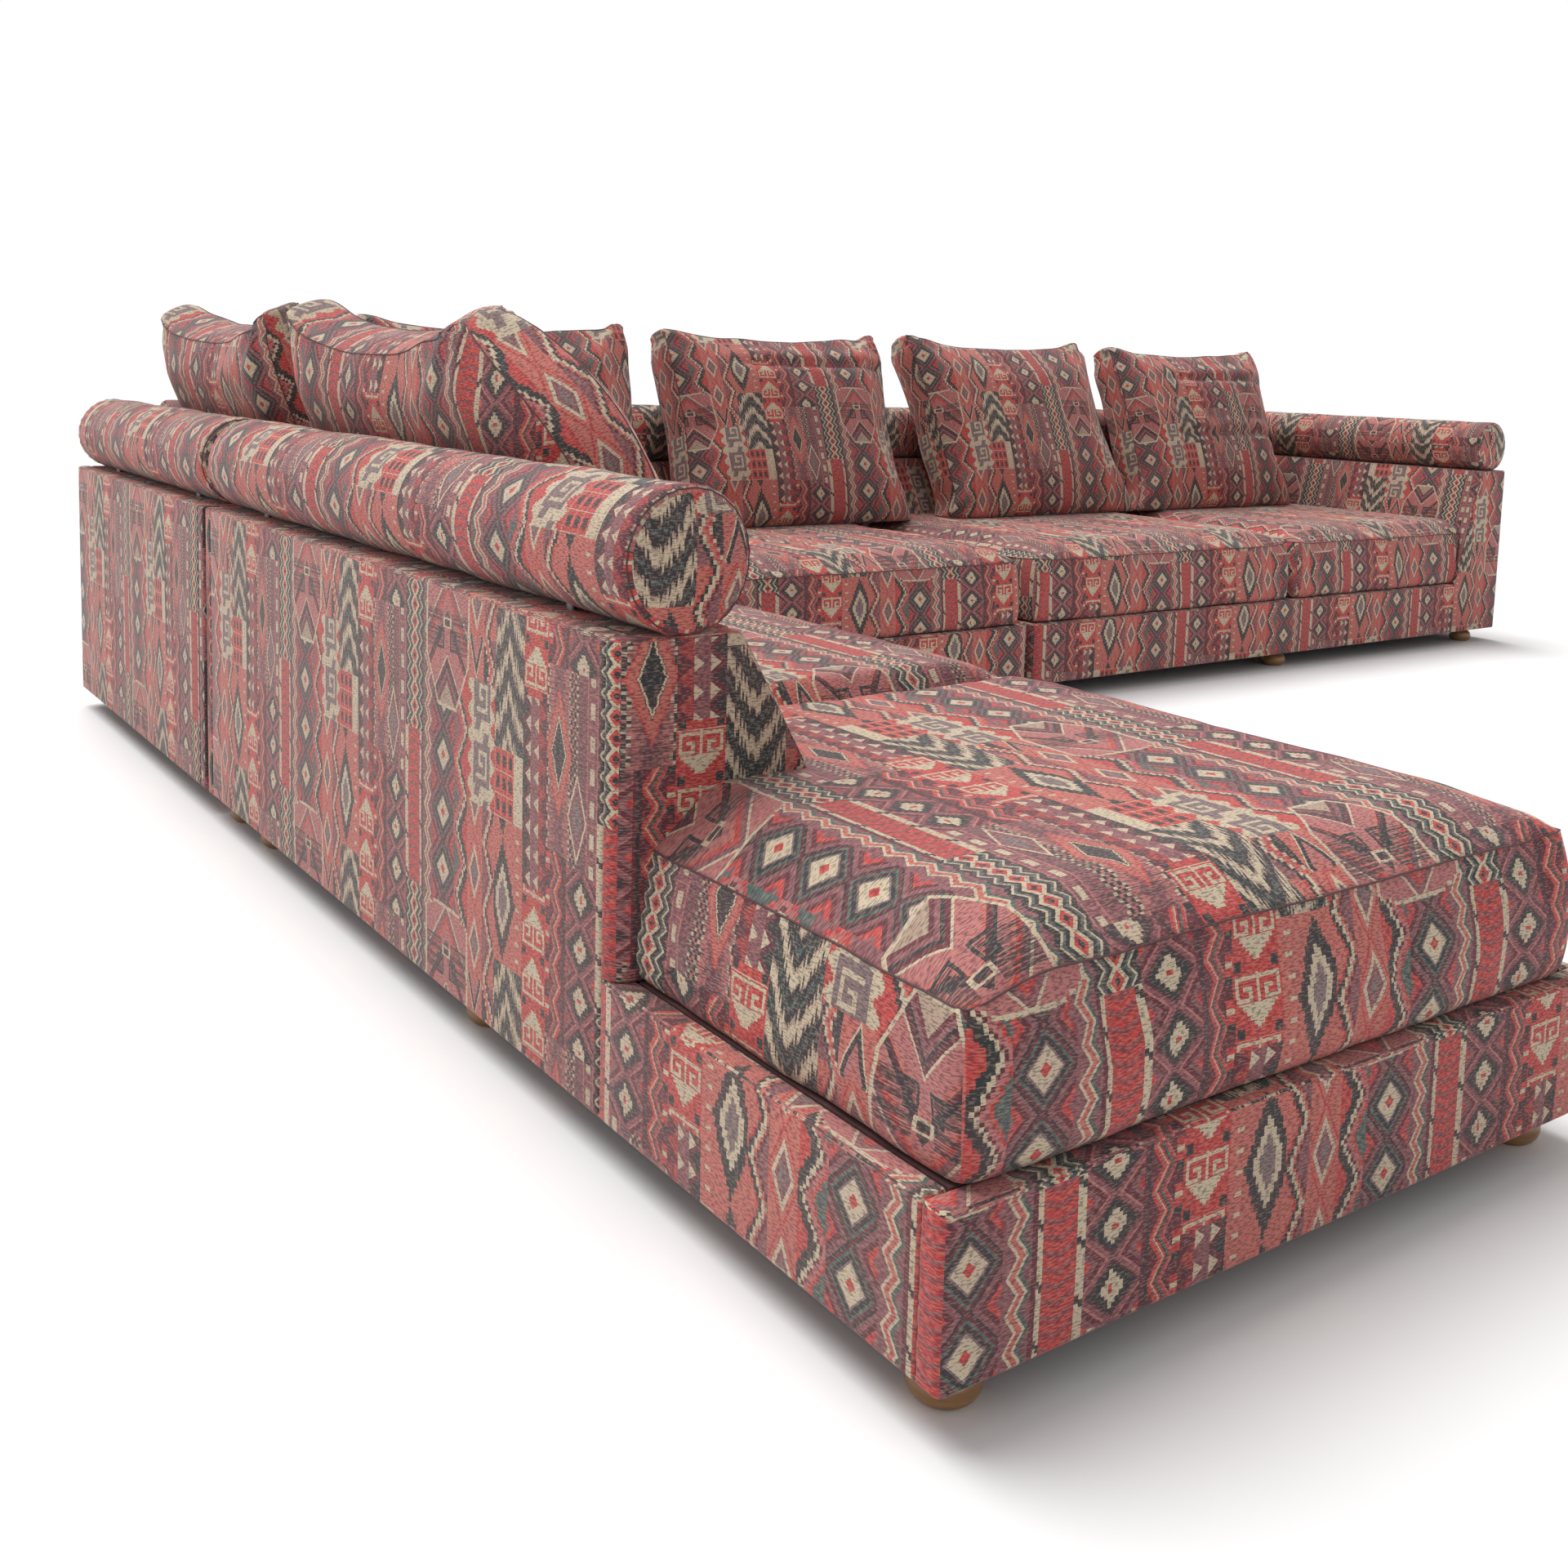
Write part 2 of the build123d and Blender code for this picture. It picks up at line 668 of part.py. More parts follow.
end_panel("corner_front_panel", west_plane(corner_low[1]), back_deck_depth, base_bottom,
          corner_width, notches=corner_joints, rounded=[(corner_east, corner_south)])
end_panel("corner_joint_panel", north_plane(corner_east), back_deck_depth, base_bottom,
          far_run_depth - wall, notches=right_joint_places)
outer_panel("corner_left_outer_panel", (west, corner_low[1]), (corner_low[0], north),
            corner=(west, north))
outer_panel("corner_rear_outer_panel", (corner_low[0], corner_high[1]), (corner_high[0], north),
            side="north")
base_frame("corner_base_frame", corner_low, corner_high, 0)
webbing("corner_webbing", (west + rail_width + wall, corner_low[1]),
        (corner_high[0], north - post_front), 0)
block("corner_seat_deck", (west + post_front, corner_low[1], webbing_top),
      (corner_high[0], north - post_front, deck_top))
block("corner_dust_cloth", (corner_low[0], corner_low[1], cloth_bottom),
      (corner_high[0], corner_high[1], frame_bottom))
back_frame("corner_back_frames", [
    (west_plane(corner_high[1]), corner_high[1] - corner_low[1], left_dowels),
    (north_plane(corner_high[0]), corner_high[0] - west - post_front, rear_dowels),
])
back_wedge("corner_left_back_wedge", west_plane(corner_high[1]), corner_high[1] - corner_low[1],
           back_deck_depth, left_dowels,
           cleared=[((west + post_front, north - post_front), (corner_east, north))])
back_wedge("corner_rear_back_wedge", north_plane(corner_high[0]), corner_high[0] - corner_low[0],
           back_deck_depth, rear_dowels, trims=[face_plane(west_plane(0), back_deck_depth)])
bolster("corner_left_bolster", west_plane(north), north - corner_south, left_dowels)
bolster("corner_rear_bolster", north_plane(corner_east), corner_east - rear_start, rear_dowels)
bolster_dowels("corner_bolster_dowels", left_dowels + rear_dowels)
feet("corner_feet", [(x, y) for x in (west + corner_foot_inset, (west + corner_east) / 2,
                                      corner_east - corner_foot_inset)
                     for y in (corner_south + foot_inset, north - corner_foot_inset)])
connector_clips("corner_connector_clips", [(corner_joints, (0, -1, 0)),
                                           (right_joint_places, (1, 0, 0))])

rear_backs = [(north_plane(east), sofa_width, back_deck_depth)]
left_backs = [(west_plane(north), north - corner_south + overrun, back_deck_depth)]
seat_cushion("corner_seat_cushion", (west + back_top_depth, corner_south),
             (chaise_east - chaise_wrap_inset + side_gap, north - back_top_depth),
             rear_backs + left_backs)
seat_cushion("centre_seat_cushion", (chaise_east - chaise_wrap_inset + 2 * side_gap,
                                     corner_south + seat_inset),
             (corner_east, north - back_top_depth), rear_backs)

# Right module with the arm
right_low = (right_west + wall, corner_south + wall)
right_high = (east - wall, north - wall)
right_rear_end = east - bolster_diameter - bolster_joint_gap
right_rear_dowels = north_dowels(right_west, right_rear_end)
arm_dowels = east_dowels(corner_south, north)
right_plate_places = [(right_west, y) for x, y in right_joint_places]

end_panel("right_front_panel", east_plane(corner_south), arm_deck_depth, base_bottom,
          east - right_west, rounded=[(right_west, corner_south), (east, corner_south)])
end_panel("right_joint_panel", north_plane(right_low[0]), back_deck_depth, base_bottom,
          far_run_depth - wall, notches=right_plate_places)
outer_panel("right_rear_outer_panel", (right_low[0], right_high[1]), (right_high[0], north),
            side="north")
outer_panel("right_arm_outer_panel", (right_high[0], right_low[1]), (east, north),
            corner=(east, north), side="east")
base_frame("right_base_frame", right_low, right_high, 0)
webbing("right_webbing", (right_low[0], right_low[1]),
        (right_high[0] - rail_width, north - post_front), 0)
block("right_seat_deck", (right_low[0], right_low[1], webbing_top),
      (east - post_front, north - post_front, deck_top))
block("right_dust_cloth", (right_low[0], right_low[1], cloth_bottom),
      (right_high[0], right_high[1], frame_bottom))
back_frame("right_back_frames", [
    (north_plane(east - post_front), east - post_front - right_low[0], right_rear_dowels),
    (east_plane(right_low[1]), right_high[1] - right_low[1], arm_dowels),
])
back_wedge("right_rear_back_wedge", north_plane(right_high[0]), right_high[0] - right_low[0],
           back_deck_depth, right_rear_dowels, trims=[face_plane(east_plane(0), arm_deck_depth)])
back_wedge("right_arm_wedge", east_plane(right_low[1]), right_high[1] - right_low[1],
           arm_deck_depth, arm_dowels,
           cleared=[((right_west, north - post_front), (east - post_front, north))])
bolster("right_rear_bolster", north_plane(right_rear_end), right_rear_end - right_west,
        right_rear_dowels)
bolster("right_arm_bolster", east_plane(corner_south), north - corner_south, arm_dowels)
bolster_dowels("right_bolster_dowels", right_rear_dowels + arm_dowels)
feet("right_feet", [(x, y) for x in (right_west + corner_foot_inset, right_west + right_middle_foot,
                                     east - corner_foot_inset)
                    for y in (corner_south + foot_inset, north - corner_foot_inset)])
connector_plates("right_connector_plates", right_plate_places, (-1, 0, 0))

arm_backs = [(east_plane(corner_south - overrun), far_run_depth + 2 * overrun, arm_deck_depth)]
seat_cushion("right_seat_cushion", (right_west, corner_south + seat_inset),
             (right_west + right_seat_split, north - back_top_depth), rear_backs)
seat_cushion("arm_seat_cushion", (right_west + right_seat_split + side_gap,
                                  corner_south + seat_inset),
             (east - back_top_depth, north - back_top_depth), rear_backs + arm_backs)

# Back cushions, each set by its middle along the run and its half width
half_width = back_cushion_width / 2
plain_left = (-half_width, back_cushion_taper - half_width)
plain_right = (half_width, half_width - back_cushion_taper)
plain_draw_in = (back_cushion_draw_in, back_cushion_draw_in)
corner_left_middle = corner_south + corner_left_cushion_middle
chaise_middle = corner_left_middle - left_cushion_spacing
rear_middles = [west + sofa_width * share for share in rear_cushion_middle_shares]

back_cushion("chaise_back_cushion", west_plane(0), Vector(0, chaise_middle, 0),
             (-half_width - slump_width, back_cushion_taper - half_width), plain_right,
             (slump_bulge, back_cushion_draw_in))
back_cushion("corner_left_back_cushion", west_plane(0), Vector(0, corner_left_middle, 0),
             plain_left, plain_right, plain_draw_in, backs=(north_plane(0),))
back_cushion("corner_rear_back_cushion", north_plane(0), Vector(rear_middles[0], 0, 0),
             plain_left, plain_right, plain_draw_in)
back_cushion("centre_back_cushion", north_plane(0), Vector(rear_middles[1], 0, 0),
             plain_left, plain_right, plain_draw_in, channel_places_shares[1:])
back_cushion("right_back_cushion", north_plane(0), Vector(rear_middles[2], 0, 0),
             plain_left, plain_right, plain_draw_in)
back_cushion("arm_back_cushion", north_plane(0), Vector(rear_middles[3], 0, 0),
             plain_left, plain_right, plain_draw_in, channel_places_shares)
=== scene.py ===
import math
from functools import cached_property

import bmesh
import bpy
import numpy as np
from mathutils import Matrix, Vector, noise


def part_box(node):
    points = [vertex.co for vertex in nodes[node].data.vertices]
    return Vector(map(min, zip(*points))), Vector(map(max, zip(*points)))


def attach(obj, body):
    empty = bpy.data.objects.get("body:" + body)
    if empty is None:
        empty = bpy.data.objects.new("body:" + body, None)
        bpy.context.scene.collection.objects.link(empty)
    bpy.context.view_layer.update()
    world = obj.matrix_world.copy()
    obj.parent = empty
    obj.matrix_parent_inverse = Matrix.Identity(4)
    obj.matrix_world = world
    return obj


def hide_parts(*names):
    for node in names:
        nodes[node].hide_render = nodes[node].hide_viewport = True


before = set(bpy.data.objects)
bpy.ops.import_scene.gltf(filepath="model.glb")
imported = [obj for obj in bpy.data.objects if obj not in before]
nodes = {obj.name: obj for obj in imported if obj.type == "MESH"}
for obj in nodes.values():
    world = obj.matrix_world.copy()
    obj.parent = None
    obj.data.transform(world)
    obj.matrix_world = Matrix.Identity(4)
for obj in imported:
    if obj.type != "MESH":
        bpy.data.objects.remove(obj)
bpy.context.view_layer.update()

# Edges of the modules and the levels of the upholstery, in metres
WEST, EAST, SOUTH, NORTH = -2.0735, 2.0735, -1.5415, 1.5415
CHAISE_EAST = WEST + 0.95
CORNER_SOUTH = NORTH - 1.048
CHAISE_NORTH = CORNER_SOUTH - 0.018
CORNER_EAST = WEST + 2.035
RIGHT_WEST = CORNER_EAST + 0.018
BACK_SOUTH = SOUTH + 0.52
DECK_TOP, BACK_TOP, SEAT_TOP = 0.199, 0.56, 0.4
BACK_TOP_DEPTH, BACK_DECK_DEPTH, ARM_DECK_DEPTH = 0.148, 0.355, 0.25
BOLSTER_RADIUS, BOLSTER_HEIGHT = 0.08, 0.637
LEAN = math.radians(22)


def linear(red, green, blue):
    """A colour written as it looks, turned into the light it stands for."""
    return tuple(((c + 0.055) / 1.055) ** 2.4 for c in (red, green, blue)) + (1.0,)


YARN = {
    "red": linear(0.80, 0.29, 0.28),
    "brick": linear(0.68, 0.27, 0.27),
    "salmon": linear(0.80, 0.44, 0.40),
    "maroon": linear(0.43, 0.20, 0.24),
    "mauve": linear(0.57, 0.36, 0.38),
    "rose": linear(0.75, 0.46, 0.45),
    "charcoal": linear(0.21, 0.22, 0.23),
    "green": linear(0.35, 0.41, 0.39),
    "cream": linear(0.84, 0.77, 0.66),
    "beige": linear(0.72, 0.62, 0.54),
    "grey": linear(0.52, 0.45, 0.45),
}


# Shader maths
def operator(operation):
    """A method that adds a Math node for this operation."""
    def apply(self, *others):
        made = self.finish.node("Math", {"operation": operation}, dict(enumerate((self, *others))))
        return Value(self.finish, made.outputs[0])

    return apply


class Value:
    """A number that changes over a surface; arithmetic on it adds Math nodes."""

    def __init__(self, finish, socket):
        self.finish, self.socket = finish, socket

    def __rsub__(self, other):
        return self.fit(-1, other)

    __add__ = __radd__ = operator("ADD")
    __sub__ = operator("SUBTRACT")
    __mul__ = __rmul__ = operator("MULTIPLY")
    __truediv__ = operator("DIVIDE")
    __gt__ = operator("GREATER_THAN")
    __lt__ = operator("LESS_THAN")
    __mod__ = operator("FLOORED_MODULO")
    __abs__ = operator("ABSOLUTE")
    floor = operator("FLOOR")
    fraction = operator("FRACT")
    larger = operator("MAXIMUM")
    smaller = operator("MINIMUM")
    fit = operator("MULTIPLY_ADD")
    swing = operator("PINGPONG")


class Finish:
    """A material, and the nodes that make it."""

    def __init__(self, name):
        self.material = bpy.data.materials.new(name)
        self.material.use_nodes = True
        self.tree = self.material.node_tree
        self.tree.nodes.clear()

    def node(self, kind, settings=None, sockets=None):
        made = self.tree.nodes.new("ShaderNode" + kind)
        for key, value in (settings or {}).items():
            if key == "stops":
                made.color_ramp.interpolation = "CONSTANT"
                stops = made.color_ramp.elements
                while len(stops) < len(value):
                    stops.new(1.0)
                for stop, (place, colour) in zip(stops, value):
                    stop.position, stop.color = place, colour
            else:
                setattr(made, key, value)
        for key, value in (sockets or {}).items():
            value = getattr(value, "socket", value)
            if isinstance(value, bpy.types.NodeSocket):
                self.tree.links.new(value, made.inputs[key])
            else:
                made.inputs[key].default_value = value
        return made

    def value(self, kind, settings=None, sockets=None, output=0):
        return Value(self, self.node(kind, settings, sockets).outputs[output])

    def mix(self, share, one, other, blend="MIX"):
        settings = {"data_type": "RGBA", "blend_type": blend}
        return self.node("Mix", settings, {0: share, 6: one, 7: other}).outputs[2]

    def ramp(self, words, place):
        """The yarn at a place from 0 to 1, from pairs of a stop and a yarn's name."""
        words = words.split()
        stops = [(float(stop), YARN[yarn]) for stop, yarn in zip(words[::2], words[1::2])]
        return self.node("ValToRGB", {"stops": stops}, {0: place}).outputs[0]

    def parts(self, vector):
        made = self.node("SeparateXYZ", sockets={0: vector})
        return [Value(self, socket) for socket in made.outputs]

    def close(self, colour, roughness, normal=None, **fixed):
        """The surface shader and the output; fixed values go on the shader's own sockets."""
        sockets = {"Base Color": colour, "Roughness": roughness}
        if normal is not None:
            sockets["Normal"] = normal
        sockets.update({key.replace("_", " "): value for key, value in fixed.items()})
        shader = self.node("BsdfPrincipled", sockets=sockets)
        self.node("OutputMaterial", sockets={0: shader.outputs[0]})
        return self.material


# The woven kilim, in millimetres of its repeat: columns side by side, each cut into lengths with a motif
REPEAT_ACROSS, REPEAT_ALONG = 541, 417
STITCH = 4.4
# Height of one pick of the weft, and how far picks shift; strokes of the weave in a metre
PICK, PICK_SHIFT, STROKES = 1.4, 0.7, 450
# Grains of the weave in a metre: across it and along it
WEFT, YARNS = (150, 620, 1), (700, 1300, 1)
# Shares of the colours that lie over the pattern; the last is a painted sheen, a paler colour that lightens the
# outer faces as light at a grazing angle would
HATCH, DIM, WORN, PAINTED_SHEEN_SHARE = 0.34, 0.6, 0.35, 0.04
# Lengths that come more than once: motif, period, where a period starts, yarns
EYE = ("eye", 20, 0, "0 rose")
HOOK = ("hook", 59.571, 332, "0 red .3 cream .6 charcoal")
KEY = ("key", 80, 32, "0 cream .3 grey .6 red")
STRIP = ("strip", 21.947, 0,
         "0 charcoal .1 red .22 cream .36 charcoal .48 green .58 cream .66 charcoal .86 mauve")
FEATHERS = "0 cream .26 beige .36 charcoal .6 green .7 charcoal .94 beige"
# Column's left edge, then its lengths: from this height up, motif, period, where a period starts, yarns
CLOTH_COLUMNS = [
    (0, [
        (0, *EYE),
        (214, "cross", 56, 214, "0 red .035 cream .14 grey .32 green .38 charcoal .54 maroon .58 mauve .66 rose"
                                " .7 maroon .8 mauve .9 red")]),
    (69, [
        (0, *EYE),
        (206, "wave", 41.7, 0, "0 maroon .42 charcoal .8 maroon")]),
    (79, [
        (0, *EYE),
        (206, "bend", 41.7, 21, "0 maroon .16 red .3 salmon .38 cream .43 red .52 charcoal .57 green .68 red"
                                " .8 rose .86 maroon")]),
    (108, [
        (0, *EYE),
        (206, "bars", 41.7, 8, "0 cream .12 red .3 maroon .62 charcoal .8 red")]),
    (118, [
        (0, *HOOK),
        (45, "harlequin", 29.786, 0, "0 maroon .167 brick .333 cream .43 mauve .667 cream .77 maroon"
                                     " .85 charcoal"),
        (263, *HOOK)]),
    (179, [
        (0, "feather", 50, -6, FEATHERS),
        (120, "dots", 27, 120, "0 charcoal .5 red .96 cream"),
        (202, "lozenge", 150, 224, "0 grey .19 cream .32 charcoal .5 salmon .9 cream"),
        (375, "feather", 50, 411, FEATHERS)]),
    (257, [
        (0, "stairs", 83.4, 35, "0 mauve .28 charcoal .42 cream .52 salmon .68 red .78 cream .86 charcoal"),
        (52, *KEY),
        (202, "stairs", 83.4, 35, "0 salmon .2 red .28 charcoal .44 cream .6 salmon .7 maroon .82 mauve")]),
    (291, [
        (0, "diamond", 104, -48, "0 salmon .12 rose .3 charcoal .42 cream .47 salmon"),
        (52, *KEY),
        (202, "diamond", 90, 242, "0 grey .15 mauve .27 cream .38 salmon .5 red .56 salmon")]),
    (336, [
        (0, "stairs", 83.4, 204, "0 red .2 charcoal .38 cream .5 salmon .66 red .8 mauve"),
        (202, "stairs", 83.4, 204, "0 red .12 charcoal .4 cream .52 maroon .6 rose .76 red .86 green")]),
    (378, [
        (0, "diamond", 73, 200.5, "0 red .09 cream .27 grey .31 charcoal .4 green .46 maroon .52 charcoal"
                                  " .57 mauve .68 maroon .78 red .9 mauve")]),
    (448, [
        (0, "wave", 32.08, 0, "0 mauve .3 cream .41 salmon .6 cream .71 green .86 mauve")]),
    (480, [
        (0, *STRIP),
        (150, "bars", 52, 0, "0 maroon"),
        (354, *STRIP)]),
]
# The red stripe between two stepped cream ones, and the dashes beside the eye
STRIPE_COLUMNS = [(486, "steps", 52, 10, "0 charcoal .13 cream"),
                  (492, "chevron", 14, 0, "0 red .6 brick .84 mauve"),
                  (531, "steps", 52, 34, "0 charcoal .13 cream")]


class Motif:
    """Where a point lies in a motif: across its column and along its period."""

    def __init__(self, x, h, left, right, period, start, ragged):
        self.x, self.h, self.left, self.wide = x, h, left, right - left
        self.period, self.start = period, start
        self.ragged, self.strokes = ragged

    @cached_property
    def share(self):
        return self.x[0].fit(1 / self.wide, -self.left / self.wide)

    @cached_property
    def out(self):
        return abs(self.x[0].fit(2 / self.wide, -2 * self.left / self.wide - 1))

    @cached_property
    def turn(self):
        return self.h[0].fit(1 / self.period, -self.start / self.period).fraction()

    @cached_property
    def bend(self):
        return self.h[0].fit(2 / self.period, 1 - 2 * self.start / self.period).swing(1)

    @cached_property
    def stepped(self):
        return Motif(self.x[1:], self.h[1:], self.left, self.left + self.wide, self.period, self.start,
                     (self.ragged, self.strokes))


def cross(m):
    inner = m.stepped.out.fit(1 / 0.45, 0) + m.stepped.bend.fit(1 / 0.62, 0)
    return (inner * 0.14).larger((m.out + m.bend).fit(0.4, 0.2) * (inner > 1))


def coil(a, b):
    """A square spiral in the square from -1 to 1."""
    outer = (b > 0.68).larger(a < -0.68).larger((b < -0.68) * (a < 0.56))
    inner = ((abs(a - 0.38) < 0.18) * (b < 0.16)).larger((abs(b) < 0.16) * (abs(a - 0.14) < 0.42))
    return outer.larger(inner) * (abs(a).larger(abs(b)) < 1)


def hook(m):
    pair = coil(m.out.fit(-2.4, 1.16), m.turn.fit(5.1, -3.95))
    wedge = (m.stepped.out < m.stepped.turn.fit(2.1, -0.36)) * (m.turn < 0.56)
    dot = abs(m.out - 0.78).fit(6.5, 0).larger(abs(m.turn - 0.12).fit(12, 0)) < 1
    stem = (m.out < 0.055) * (m.turn > 0.5)
    return pair.larger(wedge).larger(stem).fit(0.4, 0.1).larger(dot * 0.8)


def harlequin(m):
    third = m.share * 3
    return third.floor().fit(1 / 3, 0) + (third.fraction() + m.bend).smaller(1.99).fit(1 / 6, 0)


def lozenge(m):
    aside = abs(m.x[1] - 232)
    rough = aside.fit(1 / 68, 0) + m.stepped.bend * 0.5
    dash = (abs(abs(m.x[0] - 232) - 40) < 4.5) * ((m.h[0] * 0.1).swing(1) < 0.22)
    return rough.smaller(0.7).larger(dash * (rough > 0.5))


def key(m):
    a, b = m.x[0].fit(1 / 24, -295 / 24), m.turn.fit(3.1, -1.55)
    block = (abs(a).larger(abs(b)) < 1) * (1 - coil(a.fit(1.5, 0), b.fit(1.5, 0)))
    link = abs(a - b.fit(0.4, 0)) < 0.3
    teeth = abs(m.x[1] - 297) + (m.h[0] * (1 / 15)).swing(1) * 16 > 42
    return block.larger(link * (abs(b) > 1)).fit(0.4, 0.1).larger(teeth * 0.8)


def side_by_side(m):
    across = m.x[0].fit(1 / 17.3, -203 / 17.3)
    return (across.swing(0.5).fit(-2, 1)).larger(m.bend).larger(across < 0)


FORMS = {
    "diamond": lambda m: (m.out + m.bend) * 0.5,
    "cross": cross,
    "wave": lambda m: m.bend.fit(0.36, -0.18) + m.share,
    "bend": lambda m: m.bend.fit(0.5, -0.25) + m.share,
    "stairs": lambda m: m.stepped.bend.fit(0.66, -0.33) + m.stepped.share,
    "bars": lambda m: m.turn,
    "steps": lambda m: (m.turn + (m.share > 0.5) * 0.08).fraction(),
    "chevron": lambda m: (m.turn - m.out * 0.5).fraction(),
    "feather": lambda m: (m.turn - m.out * 1.05 + m.strokes * 0.34).fraction(),
    "harlequin": harlequin,
    "hook": hook,
    "key": key,
    "lozenge": lozenge,
    "dots": side_by_side,
    "strip": lambda m: m.out.fit(0.75, 0) + m.bend.fit(0.25, 0),
}


def eye_motif(f, x, h, ragged):
    """The eye between rows of teeth, the leaf beside it and the dashes at its edge."""
    aside, rise_by = abs(x[0] - 89), abs(h[0] - 94)
    lens = aside.fit(1 / 36, 0) + rise_by.fit(1 / 86, 0) + ragged * 0.07
    colour = f.ramp("0 charcoal .42 cream .49 maroon .52 salmon .8 red", lens)
    comb = (abs(x[1] - 89) + (h[0] * 0.05).swing(0.5) * 14).fit(1 / 50, 0)
    teeth = f.ramp("0 mauve .3 rose .56 cream .62 charcoal .7 rose .8 charcoal .88 cream .94 mauve", comb)
    teeth = f.mix(((h[0] * 0.28 + ragged).fraction() > 0.6) * 0.6, teeth, YARN["charcoal"])
    colour = f.mix(lens > 0.86, colour, teeth)
    leaf = abs(x[0] - 45).fit(1 / 22, 0) + abs(h[0] - 157).fit(1 / 50, 0)
    colour = f.mix(leaf < 1, colour, f.ramp("0 grey .5 mauve .84 cream", leaf))
    dashes = abs(x[0] - 12).fit(0.1, 0).larger((h[0] * (2 / 34.75)).swing(1))
    return f.mix(x[0] < 24, colour, f.ramp("0 cream .5 mauve .95 rose", dashes))


def medallion(f, x, h, colour, ragged):
    """The large gabled shape with nested chevrons, horns and a cup, over the columns."""
    aside, rough = abs(x[0] - 403), abs(x[1] - 403)
    level, steps = [(place + 208.5) % REPEAT_ALONG - 208.5 for place in h[:2]]
    edge = aside.larger(aside + level.fit(0.62, -26)).larger(rough - steps.fit(2.6, 125))
    edge = edge.larger(abs(level - 21).fit(1, -15)) / 68
    chevrons = (level - aside * 1.12).fit(1 / 200, 0.55)
    inside = f.ramp("0 rose .22 cream .245 mauve .3 red .34 salmon .38 rose .46 charcoal .485 maroon .53 salmon"
                    " .56 rose .73 cream .75 maroon .79 charcoal .82 mauve .86 maroon .9 beige", chevrons)
    horns = coil(aside.fit(1 / 13, -22 / 13), level.fit(1 / 13, -19 / 13))
    horns = horns.larger((rough - steps * 0.7 + 2 < 9) * (level < 3) * (level > -14))
    inside = f.mix(horns, inside, YARN["charcoal"])
    cup = aside.larger(abs(level + 2).fit(2, 0))
    inside = f.mix((cup < 13) * (cup > 8), inside, YARN["cream"])
    rays = ((level * 0.25 + ragged).fraction() > 0.45) * (abs(aside - 38) < 24) * (abs(level - 8) < 24)
    inside = f.mix(rays * 0.85, inside, YARN["charcoal"])
    inside = f.mix(edge > 0.93, inside, YARN["cream"])
    return f.mix(edge < 1, colour, inside)


def kilim(name, painted_sheen_colour=None):
    """The patterned cloth, on the weave coordinates of a piece in metres; a colour given is mixed over it as a
    painted sheen, paler as if lit at a grazing angle.
    """
    f = Finish(name)
    weave = f.node("UVMap", {"uv_map": "weave"}).outputs[0]
    across, along, _ = f.parts(weave)
    row = (along * (1000 / PICK)).floor()
    jitter, strokes = [f.value("TexWhiteNoise", {"noise_dimensions": "1D"}, {"W": line}) - 0.5
                       for line in (row, (across * STROKES).floor())]
    x = (across * 1000 + jitter * PICK_SHIFT) % REPEAT_ACROSS
    h = (along * 1000) % REPEAT_ALONG
    x = (x, (x / STITCH).floor().fit(STITCH, STITCH / 2))
    h = (h, (h / STITCH).floor().fit(STITCH, STITCH / 2))
    x, h = x + x[1:], h + h[1:]
    eye = eye_motif(f, x, h, jitter)
    made = {}

    def cloud(vector, scale, detail, grain=None):
        if grain:
            vector = f.node("VectorMath", {"operation": "MULTIPLY"}, {0: vector, 1: grain}).outputs[0]
        sockets = {"Vector": vector, "Scale": scale, "Detail": detail}
        return f.value("TexNoise", {"noise_dimensions": "2D"}, sockets)

    def part(left, right, form, period, start, words):
        key = (left, form, start, words)
        if key not in made:
            motif = Motif(x, h, left, right, period, start, (jitter, strokes))
            made[key] = eye if form == "eye" else f.ramp(words, FORMS[form](motif))
        return made[key]

    colour = None
    edges = [left for left, _ in CLOTH_COLUMNS] + [REPEAT_ACROSS]
    for (left, lengths), right in zip(CLOTH_COLUMNS, edges[1:]):
        column = None
        for low, form, period, start, words in lengths:
            length = part(left, right, form, period, start, words)
            column = length if column is None else f.mix(h[0] > low, column, length)
        colour = column if colour is None else f.mix(x[0] > left, colour, column)
    stripe = YARN["maroon"]
    edges = [left for left, *_ in STRIPE_COLUMNS] + [REPEAT_ACROSS]
    for (left, form, period, start, words), right in zip(STRIPE_COLUMNS, edges[1:]):
        stripe = f.mix(x[0] > left, stripe, part(left, right, form, period, start, words))
    colour = f.mix((x[0] > 480) * (abs(h[0] - 252) < 102), colour, stripe)
    colour = medallion(f, x, h, colour, jitter)
    # Picks of the weft that lie over the pattern, and slow wear
    picks = cloud(weave, 1.0, 1.0, WEFT)
    hatch = ((picks - 0.52) * 7).larger(0).smaller(1)
    colour = f.mix(hatch * HATCH, colour, YARN["beige"])
    dim = ((0.5 - picks) * 7).larger(0).smaller(1)
    colour = f.mix(dim * DIM, colour, YARN["charcoal"])
    slow = cloud(weave, 9.0, 2.0)
    colour = f.mix((slow - 0.35) * WORN, colour, YARN["mauve"])
    # Painted sheen: a paler colour over the whole cloth, standing in for light at a grazing angle
    if painted_sheen_colour:
        colour = f.mix(PAINTED_SHEEN_SHARE, colour, painted_sheen_colour)
    grain = cloud(weave, 1.0, 0.0, YARNS)
    bump = f.node("Bump", sockets={"Height": grain, "Strength": 0.35, "Distance": 0.0008})
    return f.close(colour, 0.82 + (picks - 0.5) * 0.2, bump.outputs[0],
                   Sheen_Weight=0.18, Sheen_Roughness=0.45, Specular_IOR_Level=0.2)


# Meshes
def placed(name, data):
    """A new object in the scene."""
    piece = bpy.data.objects.new(name, data)
    bpy.context.collection.objects.link(piece)
    return piece


